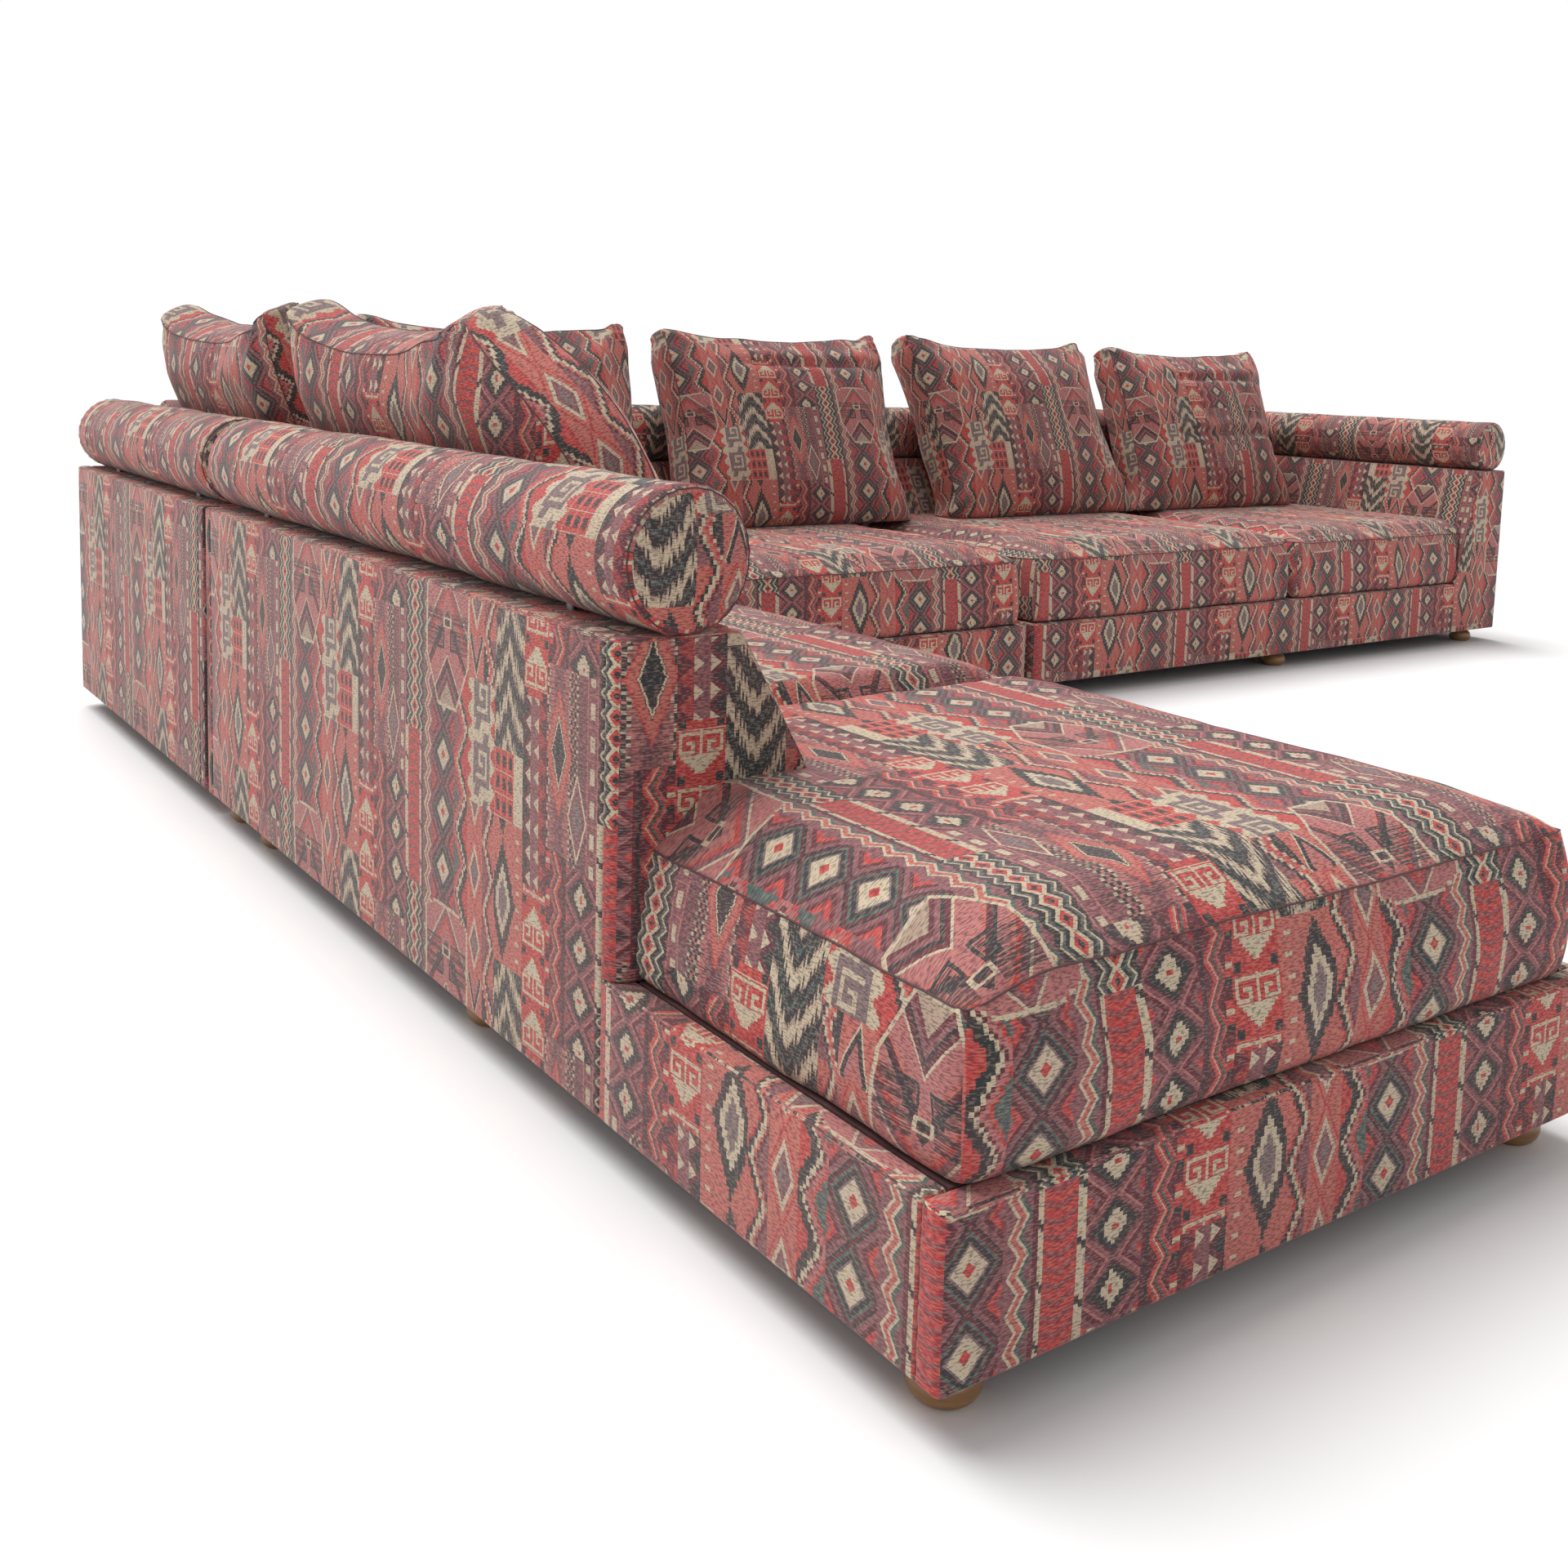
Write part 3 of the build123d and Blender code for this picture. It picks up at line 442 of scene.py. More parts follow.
def lattice(nx, ny, nz):
    """The skin of a box: shares along its three sides, faces with the side each is on, and the index."""
    found, faces = {}, []

    def face(side, *corners):
        faces.append((side, [found.setdefault(c, len(found)) for c in corners]))

    for i in range(nx):
        for j in range(ny):
            face("top", (i, j, nz), (i + 1, j, nz), (i + 1, j + 1, nz), (i, j + 1, nz))
            face("bottom", (i, j, 0), (i, j + 1, 0), (i + 1, j + 1, 0), (i + 1, j, 0))
    for i in range(nx):
        for k in range(nz):
            face("front", (i, 0, k), (i + 1, 0, k), (i + 1, 0, k + 1), (i, 0, k + 1))
            face("rear", (i + 1, ny, k), (i, ny, k), (i, ny, k + 1), (i + 1, ny, k + 1))
    for j in range(ny):
        for k in range(nz):
            face("west", (0, j + 1, k), (0, j, k), (0, j, k + 1), (0, j + 1, k + 1))
            face("east", (nx, j, k), (nx, j + 1, k), (nx, j + 1, k + 1), (nx, j, k + 1))
    steps = np.array(list(found), float)
    return [steps[:, axis] / count for axis, count in enumerate((nx, ny, nz))], faces, found


def make_piece(name, points, faces, weave, finish):
    """A mesh object with its weave coordinates and one material."""
    mesh = bpy.data.meshes.new(name)
    mesh.from_pydata([tuple(p) for p in points], [], [f for _, f in faces])
    layer = mesh.uv_layers.new(name="weave")
    layer.data.foreach_set("uv", np.array(weave, np.float32).ravel())
    mesh.materials.append(finish)
    mesh.shade_smooth()
    mesh.update()
    return placed(name, mesh)


def baked(piece):
    """The piece with its modifiers worked into its mesh."""
    graph = bpy.context.evaluated_depsgraph_get()
    mesh = bpy.data.meshes.new_from_object(piece.evaluated_get(graph), preserve_all_data_layers=True,
                                           depsgraph=graph)
    piece.modifiers.clear()
    old = piece.data
    piece.data = mesh
    bpy.data.meshes.remove(old)


def threes(items, field):
    flat = np.empty(len(items) * 3)
    items.foreach_get(field, flat)
    return flat.reshape(-1, 3)


def points_of(mesh):
    return threes(mesh.vertices, "co")


def normals_of(mesh):
    return threes(mesh.vertex_normals, "vector")


def set_points(mesh, points):
    mesh.vertices.foreach_set("co", np.asarray(points, np.float32).ravel())
    mesh.update()


def rumple(points, scale, seed=0.0):
    """A smooth noise from -1 to 1 at each point."""
    move = Vector((seed, seed * 2, 0))
    return np.array([noise.noise(Vector((p[0], p[1], p[2])) * scale + move) for p in points])


# How the stuffed cloth behaves, and for how many frames it fills
STUFFED = {"quality": 5, "mass": 0.3, "tension_stiffness": 12, "compression_stiffness": 12,
           "shear_stiffness": 6, "bending_stiffness": 0.8, "shrink_min": -0.02,
           "vertex_group_mass": "held", "use_pressure": True, "uniform_pressure_force": 4.0}
FRAMES = 20


def swell(pieces):
    """Fills cushions as stuffed cloth: each is (object, how firmly a point is held, cap on its movement)."""
    starts = []
    for piece, held, cap in pieces:
        group = piece.vertex_groups.new(name="held")
        for index, weight in enumerate(held):
            if weight > 0:
                group.add([index], float(weight), "REPLACE")
        cloth = piece.modifiers.new("stuffing", "CLOTH")
        for key, value in STUFFED.items():
            setattr(cloth.settings, key, value)
        cloth.settings.effector_weights.gravity = 0
        cloth.point_cache.frame_start, cloth.point_cache.frame_end = 1, FRAMES
        starts.append(points_of(piece.data))
    for step in range(1, FRAMES + 1):
        bpy.context.scene.frame_set(step)
    for (piece, held, cap), start in zip(pieces, starts):
        baked(piece)
        move = points_of(piece.data) - start
        length = np.linalg.norm(move, axis=1, keepdims=True)
        move *= np.minimum(1, cap / np.maximum(length, 1e-9))
        set_points(piece.data, start + move)
        piece.vertex_groups.clear()
    bpy.context.scene.frame_set(1)


def refine(piece):
    """One smooth subdivision."""
    modifier = piece.modifiers.new("finer", "SUBSURF")
    modifier.levels = modifier.render_levels = 1
    modifier.uv_smooth = "NONE"
    baked(piece)


def crease(piece, paths, amount):
    """Keeps the edges along these paths of points crisp when the piece is subdivided."""
    wanted = {tuple(sorted(pair)) for path in paths for pair in zip(path, path[1:])}
    attribute = piece.data.attributes.new("crease_edge", "FLOAT", "EDGE")
    found = [tuple(sorted(edge.vertices)) in wanted for edge in piece.data.edges]
    attribute.data.foreach_set("value", [amount if one else 0.0 for one in found])


PIPING_PITCH = 0.008


def edging_tree():
    """Geometry nodes that lay a round piping along a path."""
    tree = bpy.data.node_groups.new("edging", "GeometryNodeTree")
    face = tree.interface
    inputs = (("Path", "Geometry"), ("Radius", "Float"), ("Pitch", "Float"), ("Cloth", "Material"))
    given = [face.new_socket(name=name, in_out="INPUT", socket_type="NodeSocket" + kind).identifier
             for name, kind in inputs]
    face.new_socket(name="Piping", in_out="OUTPUT", socket_type="NodeSocketGeometry")

    def add(kind, **sockets):
        node = tree.nodes.new(kind)
        for key, value in sockets.items():
            key = key.replace("_", " ")
            if isinstance(value, bpy.types.NodeSocket):
                tree.links.new(value, node.inputs[key])
            else:
                node.inputs[key].default_value = value
        return node

    source = tree.nodes.new("NodeGroupInput")
    resampled = tree.nodes.new("GeometryNodeResampleCurve")
    resampled.mode = "LENGTH"
    tree.links.new(source.outputs["Path"], resampled.inputs["Curve"])
    tree.links.new(source.outputs["Pitch"], resampled.inputs["Length"])
    ring = add("GeometryNodeCurvePrimitiveCircle", Resolution=8, Radius=source.outputs["Radius"])
    tube = add("GeometryNodeCurveToMesh", Curve=resampled.outputs[0], Profile_Curve=ring.outputs[0],
               Fill_Caps=True)
    smooth = add("GeometryNodeSetShadeSmooth", Geometry=tube.outputs[0])
    whole = add("GeometryNodeRealizeInstances", Geometry=smooth.outputs[0])
    dressed = add("GeometryNodeSetMaterial", Geometry=whole.outputs[0], Material=source.outputs["Cloth"])
    out = tree.nodes.new("NodeGroupOutput")
    tree.links.new(dressed.outputs[0], out.inputs["Piping"])
    return tree, *given[1:]


def edging(name, paths, body, radius):
    """A fine piping along one or more closed paths of points."""
    tree, radius_id, pitch_id, cloth_id = EDGING
    curve = bpy.data.curves.new(name + "_path", "CURVE")
    curve.dimensions = "3D"
    for path in paths:
        spline = curve.splines.new("POLY")
        spline.points.add(len(path) - 1)
        spline.points.foreach_set("co", [c for p in path for c in (*p, 1.0)])
        spline.use_cyclic_u = True
    piece = placed(name + "_path", curve)
    modifier = piece.modifiers.new("edging", "NODES")
    modifier.node_group = tree
    modifier[radius_id] = radius
    modifier[pitch_id] = PIPING_PITCH
    modifier[cloth_id] = PIPING
    graph = bpy.context.evaluated_depsgraph_get()
    mesh = bpy.data.meshes.new_from_object(piece.evaluated_get(graph), depsgraph=graph)
    bpy.data.objects.remove(piece)
    made = placed(name, mesh)
    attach(made, body)


def dress(piece, body, node_name):
    """Lets a soft piece ride on its body in place of the solid under it."""
    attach(piece, body)
    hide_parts(node_name)


# Finishes
CLOTH = kilim("kilim_seat")
# A lit copy of the cloth for the outer walls: paler, a painted sheen
CLOTH_OUTER_PAINTED_SHEEN = kilim("kilim_outer", linear(0.85, 0.75, 0.7))


def simple(name, base, other, scale, roughness, grain=(1, 1, 1), **fixed):
    """A plain finish of two colours that run into each other, with a grain."""
    f = Finish(name)
    where = f.node("TexCoord").outputs["Object"]
    where = f.node("VectorMath", {"operation": "MULTIPLY"}, {0: where, 1: grain}).outputs[0]
    cloud = f.value("TexNoise", sockets={"Vector": where, "Scale": scale, "Detail": 4.0, "Roughness": 0.6})
    fine = f.value("TexNoise", sockets={"Vector": where, "Scale": scale * 7, "Detail": 2.0})
    colour = f.mix(((cloud - 0.35) * 2.4).larger(0).smaller(1), base, other)
    normal = f.node("Bump", sockets={"Height": fine, "Strength": 0.2, "Distance": 0.0005})
    return f.close(colour, roughness + (fine - 0.5) * 0.2, normal.outputs[0], **fixed)


PIPING = simple("piping_cord", linear(0.26, 0.19, 0.2), linear(0.42, 0.27, 0.28), 220, 0.8)
TURNED = simple("turned_wood", linear(0.52, 0.37, 0.22), linear(0.66, 0.5, 0.33), 14, 0.42, (1, 1, 6),
                Coat_Weight=0.2)
TIMBER = simple("frame_timber", linear(0.62, 0.47, 0.31), linear(0.74, 0.6, 0.42), 9, 0.65, (1, 1, 5))
DECK = simple("deck_cloth", linear(0.3, 0.2, 0.2), linear(0.4, 0.26, 0.26), 260, 0.9)
STRAPS = simple("webbing", linear(0.5, 0.43, 0.33), linear(0.6, 0.52, 0.42), 180, 0.85)
DUST = simple("dust_cloth", linear(0.1, 0.1, 0.11), linear(0.15, 0.15, 0.16), 300, 0.95)
STEEL = simple("steel_fittings", linear(0.5, 0.5, 0.51), linear(0.62, 0.62, 0.63), 40, 0.38,
               Metallic=1.0)
EDGING = edging_tree()

for node_name, node in nodes.items():
    for words, finish in (("feet", TURNED), ("frame", TIMBER), ("dowels", STEEL), ("connector", STEEL),
                          ("seat_deck", DECK), ("webbing", STRAPS), ("dust_cloth", DUST)):
        if words in node_name:
            node.data.materials.clear()
            node.data.materials.append(finish)


def body_of(node_name):
    """The body that a node of a module belongs to."""
    return node_name.split("_")[0] + "_module"


# Walls, ends and foam bodies, from the solids under them: size of a mesh cell, padding and soft edge
CELL, PUFF, SOFT_EDGE = 0.06, 0.0025, 0.005


def wrapped(node_name, finish, shift=(0.0, 0.0), turned=False, stretch=1.0, ends=None):
    """Cloth over one solid: a finer mesh, slightly padded, with the weave laid on each side."""
    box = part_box(node_name)
    bm = bmesh.new()
    bm.from_mesh(nodes[node_name].data)
    bmesh.ops.remove_doubles(bm, verts=bm.verts, dist=1e-5)
    bmesh.ops.dissolve_limit(bm, angle_limit=math.radians(0.6), verts=bm.verts, edges=bm.edges)
    sharp = [e for e in bm.edges if len(e.link_faces) == 2 and e.is_convex
             and e.calc_face_angle() > math.radians(50)]
    bmesh.ops.bevel(bm, geom=sharp, offset=SOFT_EDGE, segments=3, profile=0.5, affect="EDGES",
                    clamp_overlap=True)
    for axis, reach in enumerate(box[1][n] - box[0][n] for n in range(3)):
        along = Vector([float(n == axis) for n in range(3)])
        count = int(reach / CELL)
        for i in range(1, count):
            whole = bm.verts[:] + bm.edges[:] + bm.faces[:]
            bmesh.ops.bisect_plane(bm, geom=whole, plane_co=along * (box[0][axis] + reach * i / count),
                                   plane_no=along, dist=1e-6)
    bmesh.ops.recalc_face_normals(bm, faces=bm.faces)
    layer = bm.loops.layers.uv.new("weave")
    lies_along_y = box[1][1] - box[0][1] > box[1][0] - box[0][0]
    main = ((-1 if turned else 1), stretch, shift)
    for face in bm.faces:
        normal = face.normal
        flat = abs(normal.z)
        faces_y = abs(normal.y) > abs(normal.x)
        at_end = ends and flat < 0.9 and faces_y == lies_along_y
        sense, scale, move = ends if at_end else main
        for loop in face.loops:
            p = loop.vert.co
            if flat > 0.9:
                u, v = (-p.y, p.x + DECK_TOP - WEST) if lies_along_y else (p.x, p.y + DECK_TOP - SOUTH)
            else:
                v = p.z / math.sqrt(1 - flat * flat)
                u = p.x * (1 if normal.y < 0 else -1) if faces_y else p.y * (1 if normal.x > 0 else -1)
            loop[layer].uv = (sense * scale * u + move[0], sense * v + move[1])
    mesh = bpy.data.meshes.new(node_name + "_cloth")
    bm.to_mesh(mesh)
    bm.free()
    mesh.materials.append(finish)
    mesh.shade_smooth()
    mesh.set_sharp_from_angle(angle=math.radians(40))
    points, normals = points_of(mesh), normals_of(mesh)
    low, high = np.array(box[0]), np.array(box[1])
    edge = np.sort(np.minimum(points - low, high - points), axis=1)[:, 1]
    soft = np.clip(edge / 0.05, 0, 1)
    wave = rumple(points, 5.0) * 0.6 + rumple(points, 14.0, 3.1) * 0.25
    # Upward faces keep their level, so that the cushions slide over them
    lift = PUFF * soft * (0.5 + wave) * (1 - np.clip(normals[:, 2], 0, 1))
    set_points(mesh, points + normals * lift[:, None])
    piece = placed(node_name + "_cloth", mesh)
    dress(piece, body_of(node_name), node_name)


# How the cloth lies on each piece: where the repeat starts, whether it is upside down, its stretch, and
# the same for the narrow ends
OUTER = (-1, 1.04, (0.4792, 0.512))
LAID = {
    "chaise_near_panel": ((0.2965, 0.163), False, 1.0, (1, 1.0, (0.066, 0.152))),
    "chaise_low_side_panel": ((0.066, 0.152), False),
    "chaise_outer_panel": (OUTER[2], True, 1.04),
    "corner_left_outer_panel": (OUTER[2], True, 1.04),
    "chaise_back_end_panel": ((0.5005, 0.409), False, 1.0, OUTER),
    "corner_front_panel": ((0.523, 0.138), False),
    "right_front_panel": ((0.523, 0.138), False),
}
for node_name in sorted(nodes):
    if node_name.endswith("_panel") or node_name.endswith("_wedge"):
        outer = "outer" in node_name or "low_side" in node_name
        # Outer and low side walls take the paler cloth with its painted sheen
        wrapped(node_name, CLOTH_OUTER_PAINTED_SHEEN if outer else CLOTH, *LAID.get(node_name, ((0.0, 0.0), False)))


# Bolsters
def bolster(node_name, start, direction, length, inward, shift=0.0, end=(0.257, 0.003)):
    """A round bolster along direction from start, which is on its axis at one end."""
    start, direction, inward = Vector(start), Vector(direction), Vector(inward)
    around, pitch = 64, 0.03
    rim, dome = 0.008, 0.012
    stations = [(0.0, BOLSTER_RADIUS - rim), (0.003, BOLSTER_RADIUS - 0.0035), (rim, BOLSTER_RADIUS)]
    count = max(2, int((length - 2 * dome - 2 * rim) / pitch))
    body_length = length - 2 * dome
    straight = body_length - 2 * rim
    side = stations + [(rim + straight * i / count, BOLSTER_RADIUS) for i in range(1, count)]
    side += [(body_length - place, radius) for place, radius in reversed(stations)]
    profile = [(-dome * (1 - reach ** 2), (BOLSTER_RADIUS - rim) * reach) for reach in (0.3, 0.6, 0.85)]
    rings = [(place + dome, radius, "cap") for place, radius in profile]
    rings += [(place + dome, radius, "side") for place, radius in side]
    rings += [(length - place - dome, radius, "cap") for place, radius in reversed(profile)]
    points = []
    for place, radius, _ in rings:
        for i in range(around):
            turn = 2 * math.pi * i / around
            offset = inward * (radius * math.cos(turn)) + Vector((0, 0, radius * math.sin(turn)))
            points.append(start + direction * place + offset)
    faces, weave = [], []
    sense = 1 if direction.cross(inward).z < 0 else -1

    def corner(ring, i, cap):
        place, radius, _ = rings[ring]
        turn = 2 * math.pi * i / around
        if cap:
            return (radius * math.cos(turn) + end[0], radius * math.sin(turn) + end[1])
        return (place + shift, turn * BOLSTER_RADIUS - 0.03)

    def add(indices, uvs):
        if sense < 0:
            indices, uvs = indices[::-1], uvs[::-1]
        faces.append(("side", indices))
        weave.extend(uvs)

    last = len(rings) - 1
    for r in range(last):
        cap = rings[r][2] == "cap" or rings[r + 1][2] == "cap"
        for i in range(around):
            j = (i + 1) % around
            add([r * around + i, r * around + j, (r + 1) * around + j, (r + 1) * around + i],
                [corner(r, i, cap), corner(r, i + 1, cap), corner(r + 1, i + 1, cap), corner(r + 1, i, cap)])
    for tip, r in ((start, 0), (start + direction * length, last)):
        index = len(points)
        points.append(tip)
        for i in range(around):
            j = (i + 1) % around
            pair, uvs = [r * around + j, r * around + i], [corner(r, i + 1, True), corner(r, i, True)]
            if r:
                pair, uvs = pair[::-1], uvs[::-1]
            add([index] + pair, [end] + uvs)
    points = np.array([tuple(p) for p in points])
    axis = np.array([tuple(start + direction * (Vector(p) - start).dot(direction)) for p in points])
    out = points - axis
    size = np.linalg.norm(out, axis=1, keepdims=True)
    out = out / np.maximum(size, 1e-6)
    along = (axis - np.array(start)) @ np.array(direction)
    near_end = np.exp(-np.minimum(along, length - along) / 0.05)
    angle = np.arctan2(out[:, 2], out @ np.array(inward))
    pucker = np.sin(angle * 26 + rumple(points, 3.0) * 4) * near_end * 0.0012
    pucker = pucker * (size[:, 0] > BOLSTER_RADIUS - 0.004)
    wave = rumple(points, 7.0, 5.0) * 0.0035 + rumple(points, 18.0, 9.0) * 0.0012 - 0.0015
    points = points + out * (wave + pucker)[:, None] * (size > BOLSTER_RADIUS - 0.01)
    points[:, 2] = np.maximum(points[:, 2], BACK_TOP + 0.0006)
    piece = make_piece(node_name + "_cloth", points, faces, weave, CLOTH)
    body = body_of(node_name)
    dress(piece, body, node_name)
    first = len(profile)
    ends = [[tuple(points[r * around + i]) for i in range(around)] for r in (first + 1, last - first - 1)]
    edging(node_name + "_edging", ends, body, 0.001)


REAR_START = WEST + 2 * BOLSTER_RADIUS + 0.003
RIGHT_END = EAST - 2 * BOLSTER_RADIUS - 0.003
LEFT_LINE, REAR_LINE, ARM_LINE = WEST + BOLSTER_RADIUS, NORTH - BOLSTER_RADIUS, EAST - BOLSTER_RADIUS
bolster("chaise_bolster", (LEFT_LINE, BACK_SOUTH - 0.015, BOLSTER_HEIGHT), (0, 1, 0),
        CHAISE_NORTH - BACK_SOUTH + 0.015, (1, 0, 0), 0.1)
bolster("corner_left_bolster", (LEFT_LINE, CORNER_SOUTH, BOLSTER_HEIGHT), (0, 1, 0),
        NORTH - CORNER_SOUTH, (1, 0, 0), 0.3)
bolster("corner_rear_bolster", (REAR_START, REAR_LINE, BOLSTER_HEIGHT), (1, 0, 0),
        CORNER_EAST - REAR_START, (0, -1, 0))
bolster("right_rear_bolster", (RIGHT_WEST, REAR_LINE, BOLSTER_HEIGHT), (1, 0, 0),
        RIGHT_END - RIGHT_WEST, (0, -1, 0))
bolster("right_arm_bolster", (ARM_LINE, CORNER_SOUTH, BOLSTER_HEIGHT), (0, 1, 0),
        NORTH - CORNER_SOUTH, (-1, 0, 0))


# Cushions: the size of a mesh cell
STEP = 0.021


def rounded_plan(x, y, hx, hy, radius):
    """Moves points of a rectangle with half sizes hx, hy so that its corners are round."""
    x, y = x.copy(), y.copy()
    ring = np.maximum(np.abs(x) / hx, np.abs(y) / hy)
    r = radius * ring
    sx, sy = np.sign(x), np.sign(y)
    ax, ay = np.abs(x), np.abs(y)
    ex, ey = hx * ring, hy * ring
    in_corner = (ax > ex - r) & (ay > ey - r) & (r > 1e-6)
    on_x = ax / hx >= ay / hy
    t = np.where(on_x, (ay - (ey - r)) / np.maximum(r, 1e-9), (ax - (ex - r)) / np.maximum(r, 1e-9))
    angle = np.clip(t, 0, 1) * math.pi / 4
    nx = np.where(on_x, ex - r + r * np.cos(angle), ex - r + r * np.sin(angle))
    ny = np.where(on_x, ey - r + r * np.sin(angle), ey - r + r * np.cos(angle))
    return np.where(in_corner, sx * nx, x), np.where(in_corner, sy * ny, y)


def rise(distance, width):
    """How far a crown has risen at a distance from the edge, from 0 to 1."""
    return 1 - (1 - np.clip(distance / width, 0, 1)) ** 2.2


def rim_path(index, nx, ny, level):
    """The points round a lattice at one level, in order."""
    walk = [(i, 0) for i in range(nx)] + [(nx, j) for j in range(ny)]
    walk += [(i, ny) for i in range(nx, 0, -1)] + [(0, j) for j in range(ny, 0, -1)]
    return [index[(i, j, level)] for i, j in walk]


def seat(name, low, high, soft_sides, shift, low_west=False, backs=(), corners=(0.03, 0.04)):
    """A boxed seat cushion between two corners of its plan; soft sides have a deep crown."""
    nx, ny, nz = max(8, round((high[0] - low[0]) / STEP)), max(8, round((high[1] - low[1]) / STEP)), 8
    (a, b, c), faces, index = lattice(nx, ny, nz)
    hx, hy = (high[0] - low[0]) / 2, (high[1] - low[1]) / 2
    x, y = (a * 2 - 1) * hx, (b * 2 - 1) * hy
    widths = {side: (0.15 if side in soft_sides else 0.06) for side in ("west", "east", "south", "north")}
    rim = 0.16
    crown = rise(x + hx, widths["west"]) * rise(hx - x, widths["east"])
    crown = crown * rise(y + hy, widths["south"]) * rise(hy - y, widths["north"])
    top = SEAT_TOP - 0.006 - DECK_TOP
    drop = np.zeros(len(x))
    if low_west:
        drop = 0.02 * (1 - np.clip((x + hx) / 0.1, 0, 1)) ** 1.5
    z = np.where(c >= 1, rim + (top - rim) * crown - drop, c * (rim - drop))
    pinch = 0.004 + np.where(c > 0.5, 0.008, 0.006) * np.abs(c * 2 - 1) ** 2.5
    x, y = rounded_plan(x, y, hx, hy, np.where(y < 0, *corners))
    scale = 1 - pinch / np.minimum(hx, hy)
    ring = np.maximum(np.abs(a * 2 - 1), np.abs(b * 2 - 1))
    x, y = x * (1 - (1 - scale) * ring), y * (1 - (1 - scale) * ring)
    points = np.stack([x + low[0] + hx, y + low[1] + hy, z + DECK_TOP + 0.0006], axis=1)
    weave = []
    for side, corners in faces:
        for i in corners:
            px, py, pz = points[i]
            u, v = {"top": (px, py), "bottom": (px, py), "front": (px, pz), "rear": (-px, pz),
                    "west": (-py, pz), "east": (py, pz)}[side]
            move = shift.get(side, shift["top"])
            weave.append((u + move[0], v + move[1]))
    piece = make_piece(name + "_cloth", points, faces, weave, CLOTH)
    seams = [rim_path(index, nx, ny, nz)]
    crease(piece, [s + s[:1] for s in seams], 0.55)
    held = np.where(c == 0, 1.0, np.where(b >= 1, 0.4, 0.0))
    return {"piece": piece, "name": name, "held": held, "cap": 0.011, "seams": seams,
            "low": low, "high": high, "backs": backs}


def clear_of_backs(points, backs, gap=0.003):
    """Keeps points in front of slanted backs: (axis, outer place, sense inward, depth at the deck)."""
    for axis, outer, sense, depth in backs:
        slope = (BACK_TOP_DEPTH - depth) / (BACK_TOP - DECK_TOP)
        face = depth + slope * (points[:, 2] - DECK_TOP) + gap
        inward = (points[:, axis] - outer) * sense
        points[:, axis] = np.where(inward < face, outer + sense * face, points[:, axis])
    return points


LEFT_BACK = (0, WEST, 1, BACK_DECK_DEPTH)
REAR_BACK = (1, NORTH, -1, BACK_DECK_DEPTH)
ARM = (0, EAST, -1, ARM_DECK_DEPTH)
CLEARANCE = 0.002
LEFT_FACE = WEST + BACK_TOP_DEPTH + CLEARANCE
REAR_FACE = NORTH - BACK_TOP_DEPTH - CLEARANCE
ROW_FRONT = CORNER_SOUTH + 0.006
seats = [
    seat("near_seat_cushion", (WEST + 0.019, SOUTH + 0.008), (CHAISE_EAST - 0.03, SOUTH + 0.868),
         ("west", "east", "south"), {"top": (0.2455, 0.2475), "front": (0.2155, 0.025), "west": (0.0055, 0.18)},
         True, corners=(0.014, 0.06)),
    seat("middle_seat_cushion", (LEFT_FACE, SOUTH + 0.872), (CHAISE_EAST - 0.03, CHAISE_NORTH),
         ("east",), {"top": (0.2455, 0.2475)}, backs=(LEFT_BACK,)),
    seat("corner_seat_cushion", (LEFT_FACE, CORNER_SOUTH), (CHAISE_EAST - 0.026, REAR_FACE),
         (), {"top": (0.1, 0.2)}, backs=(LEFT_BACK, REAR_BACK)),
    seat("centre_seat_cushion", (CHAISE_EAST - 0.022, ROW_FRONT), (CORNER_EAST, REAR_FACE),
         ("south", "west", "east"), {"top": (0.29, -0.1145), "front": (0.26, 0.025)}, backs=(REAR_BACK,)),
    seat("right_seat_cushion", (RIGHT_WEST, ROW_FRONT), (RIGHT_WEST + 1.045, REAR_FACE),
         ("south", "west", "east"), {"top": (0.52, -0.1145), "front": (0.49, 0.025)}, backs=(REAR_BACK,)),
    seat("arm_seat_cushion", (RIGHT_WEST + 1.049, ROW_FRONT), (EAST - BACK_TOP_DEPTH - CLEARANCE, REAR_FACE),
         ("south", "west"), {"top": (0.348, -0.1145), "front": (0.318, 0.025)}, backs=(REAR_BACK, ARM)),
]

# Loose back cushions: half width, the middle's reach from the bolster's axis, and the soft limit of the rear
HALF, TAPER = 0.39, 0.018
MIDDLE_REACH = BOLSTER_RADIUS + 0.0004 + 0.1 - 0.006
MIDDLE_HEIGHT = BOLSTER_HEIGHT + MIDDLE_REACH * math.sin(LEAN)
BOTTOM = (MIDDLE_HEIGHT - SEAT_TOP + 0.021) / math.cos(LEAN)
TALL = 0.59
REAR_SOFT, REAR_GIVE = -0.08, 0.0105


def back_frame(run, middle):
    """Origin and the three directions of a leaning back cushion: along, up and forward."""
    inward = Vector((1, 0, 0)) if run == "west" else Vector((0, -1, 0))
    line = Vector((*((LEFT_LINE, middle) if run == "west" else (middle, REAR_LINE)), BOLSTER_HEIGHT))
    forward = inward * math.cos(LEAN) + Vector((0, 0, math.sin(LEAN)))
    upward = inward * -math.sin(LEAN) + Vector((0, 0, math.cos(LEAN)))
    return line + forward * MIDDLE_REACH, upward.cross(forward), upward, forward


